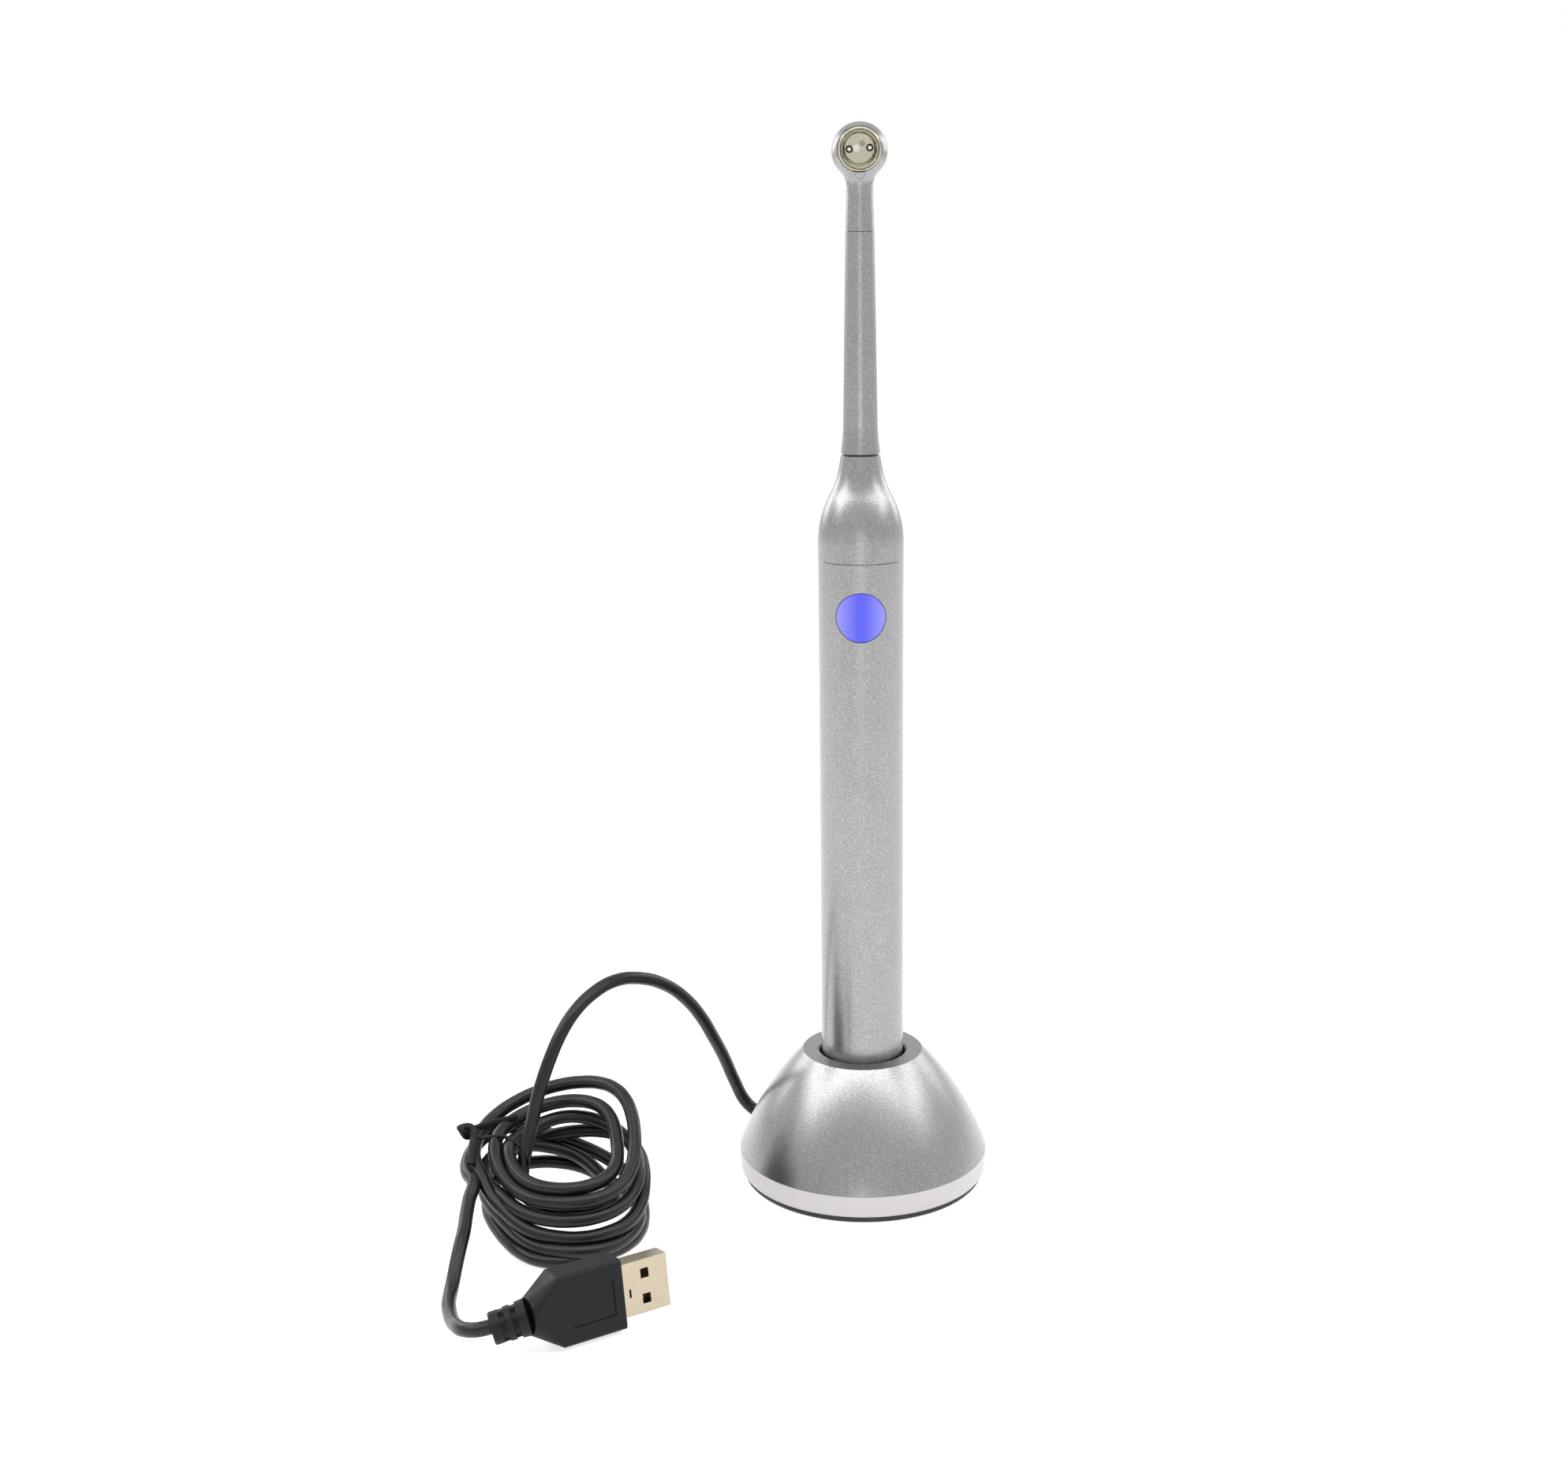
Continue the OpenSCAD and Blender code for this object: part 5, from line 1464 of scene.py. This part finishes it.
@dataclass
class Measures:
    """Finds where the finished pieces show, and how far from their image points."""

    camera: PhotoCamera
    band_mm: float = 0.25
    near_mm: float = 0.05
    row_px: float = 6.0
    knot_px: float = 11.0
    free_end_px: float = 4.0

    def corners(self, *names: str) -> np.ndarray:
        """The placed vertices of the named pieces, in metres.

        Args:
            *names: The pieces.

        Returns:
            One row for each vertex.
        """
        rows = []
        graph = bpy.context.evaluated_depsgraph_get()
        for name in names:
            piece = bpy.data.objects.get(name) or frame["nodes"][name]
            shown = piece.evaluated_get(graph)
            mesh = shown.to_mesh()
            rows += [tuple(piece.matrix_world @ v.co) for v in mesh.vertices]
            shown.to_mesh_clear()
        return np.array(rows)

    def shown(self, rows: np.ndarray) -> np.ndarray:
        """Where rows of points show, in image points."""
        return np.array([self.camera.show(row) for row in rows])

    def front(self, name: str, top: bool) -> tuple[float, float]:
        """Where the nearest point of a piece's upper or lower edge shows.

        Args:
            name: The piece.
            top: Whether the upper edge is meant.

        Returns:
            Its x and y in image points.
        """
        rows = self.corners(name)
        level = rows[:, 2].max() if top else rows[:, 2].min()
        edge = rows[np.abs(rows[:, 2] - level) < self.band_mm * MM]
        nearest = edge[edge[:, 1] < edge[:, 1].min() + self.near_mm * MM]
        return self.camera.show(nearest.mean(axis=0))

    def side(self, name: str, y: float, right: bool) -> tuple[float, float]:
        """Where a piece's outline crosses a row of the image.

        Args:
            name: The piece.
            y: The row in image points.
            right: Whether the right outline is meant.

        Returns:
            Its x and the row's y.
        """
        seen = self.shown(self.corners(name))
        row = seen[np.abs(seen[:, 1] - y) < self.row_px][:, 0]
        return (float(row.max() if right else row.min()), y)

    def middle(self, rows: np.ndarray) -> tuple[float, float]:
        """The middle of what shows of some points, in image points."""
        seen = self.shown(rows)
        return tuple(float(v) for v in (seen.max(axis=0) + seen.min(axis=0)) / 2)

    def found(self) -> dict[str, tuple[float, float] | float]:
        """Finds where each thing of IMAGE_POINTS shows.

        The header's round marks and the rows of the head's sides come from their own points, so
        these can't show an error.

        Returns:
            Its x and y in image points, or the one number for an edge.
        """
        whole = ("dock_shell", "base_ring", "rubber_foot", "barrel", "shoulder")
        body = self.shown(self.corners(*whole, "neck_tube", "head_casting"))
        seals = self.corners("pin_seals")
        split = seals[:, 0].mean()
        tie = self.shown(self.corners("twist_tie_set"))
        head_y = IMAGE_POINTS["head_left"][1]
        header = surface_of(frame["nodes"]["lamp_header"])
        spots = {
            name: self.camera.show(self.camera.meet(header, *IMAGE_POINTS[name]))
            for name in ("dark_weld_mark", "pale_weld_mark")
        }
        knot = tie[tie[:, 0] < tie[:, 0].min() + self.knot_px]
        free = tie[tie[:, 1] < tie[:, 1].min() + self.free_end_px]
        return {
            "object_left_x": float(body[:, 0].min()),
            "object_right_x": float(body[:, 0].max()),
            "object_top_y": float(body[:, 1].min()),
            "object_bottom_y": float(body[:, 1].max()),
            "head_left": self.side("head_casting", head_y, False),
            "head_right": self.side("head_casting", head_y, True),
            "bezel_middle": self.middle(self.corners("bezel_ring")),
            "left_seal": self.middle(seals[seals[:, 0] < split]),
            "right_seal": self.middle(seals[seals[:, 0] > split]),
            "neck_seam": self.front("neck_tube", True),
            "swivel_seam": self.front("shoulder", True),
            "shoulder_seam": self.front("barrel", True),
            "button_middle": self.middle(self.corners("push_button")),
            "rim_front": self.front("dock_shell", True),
            "silver_seam_front": self.front("dock_shell", False),
            "foot_seam_front": self.front("base_ring", False),
            **spots,
            "tie_knot": tuple(float(v) for v in knot.mean(axis=0)),
            "tie_free_end": (float(free[:, 0].max()), float(free[:, 1].mean())),
        }

    def write(self, path: str) -> None:
        """Writes how far each thing shows from its point, in x and y.

        Args:
            path: The file to write.
        """
        rows = {}
        for name, place in self.found().items():
            wanted = IMAGE_POINTS[name]
            if isinstance(wanted, float):
                axis = "x" if name.endswith("_x") else "y"
                rows[name] = {axis: round(place - wanted, 2)}
            else:
                rows[name] = {
                    axis: round(float(is_at) - want, 2)
                    for axis, is_at, want in zip("xy", place, wanted)
                }
        with open(path, "w") as out:
            json.dump(rows, out, indent=1)


# ---- main


def main() -> None:
    """Builds the looks in order and writes the measures."""
    logging.basicConfig(level=logging.INFO, format="%(name)s: %(message)s")
    before = [list(corner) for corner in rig.bounds()]
    camera = PhotoCamera()
    camera.build()
    wardrobe = Wardrobe()
    wardrobe.dress_nodes()
    header = surface_of(frame["nodes"]["lamp_header"])
    marked = FINISHES[Slot.HEADER_METAL]
    marked.place(wardrobe.materials[Slot.HEADER_METAL], header, camera)
    ChargingCord().build(wardrobe, camera)
    Studio().build()
    Measures(camera).write("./points.json")
    after = [list(corner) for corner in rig.bounds()]
    with open("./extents.json", "w") as out:
        json.dump({"cad": before, "visual": after}, out)


if __name__ == "__main__":
    main()
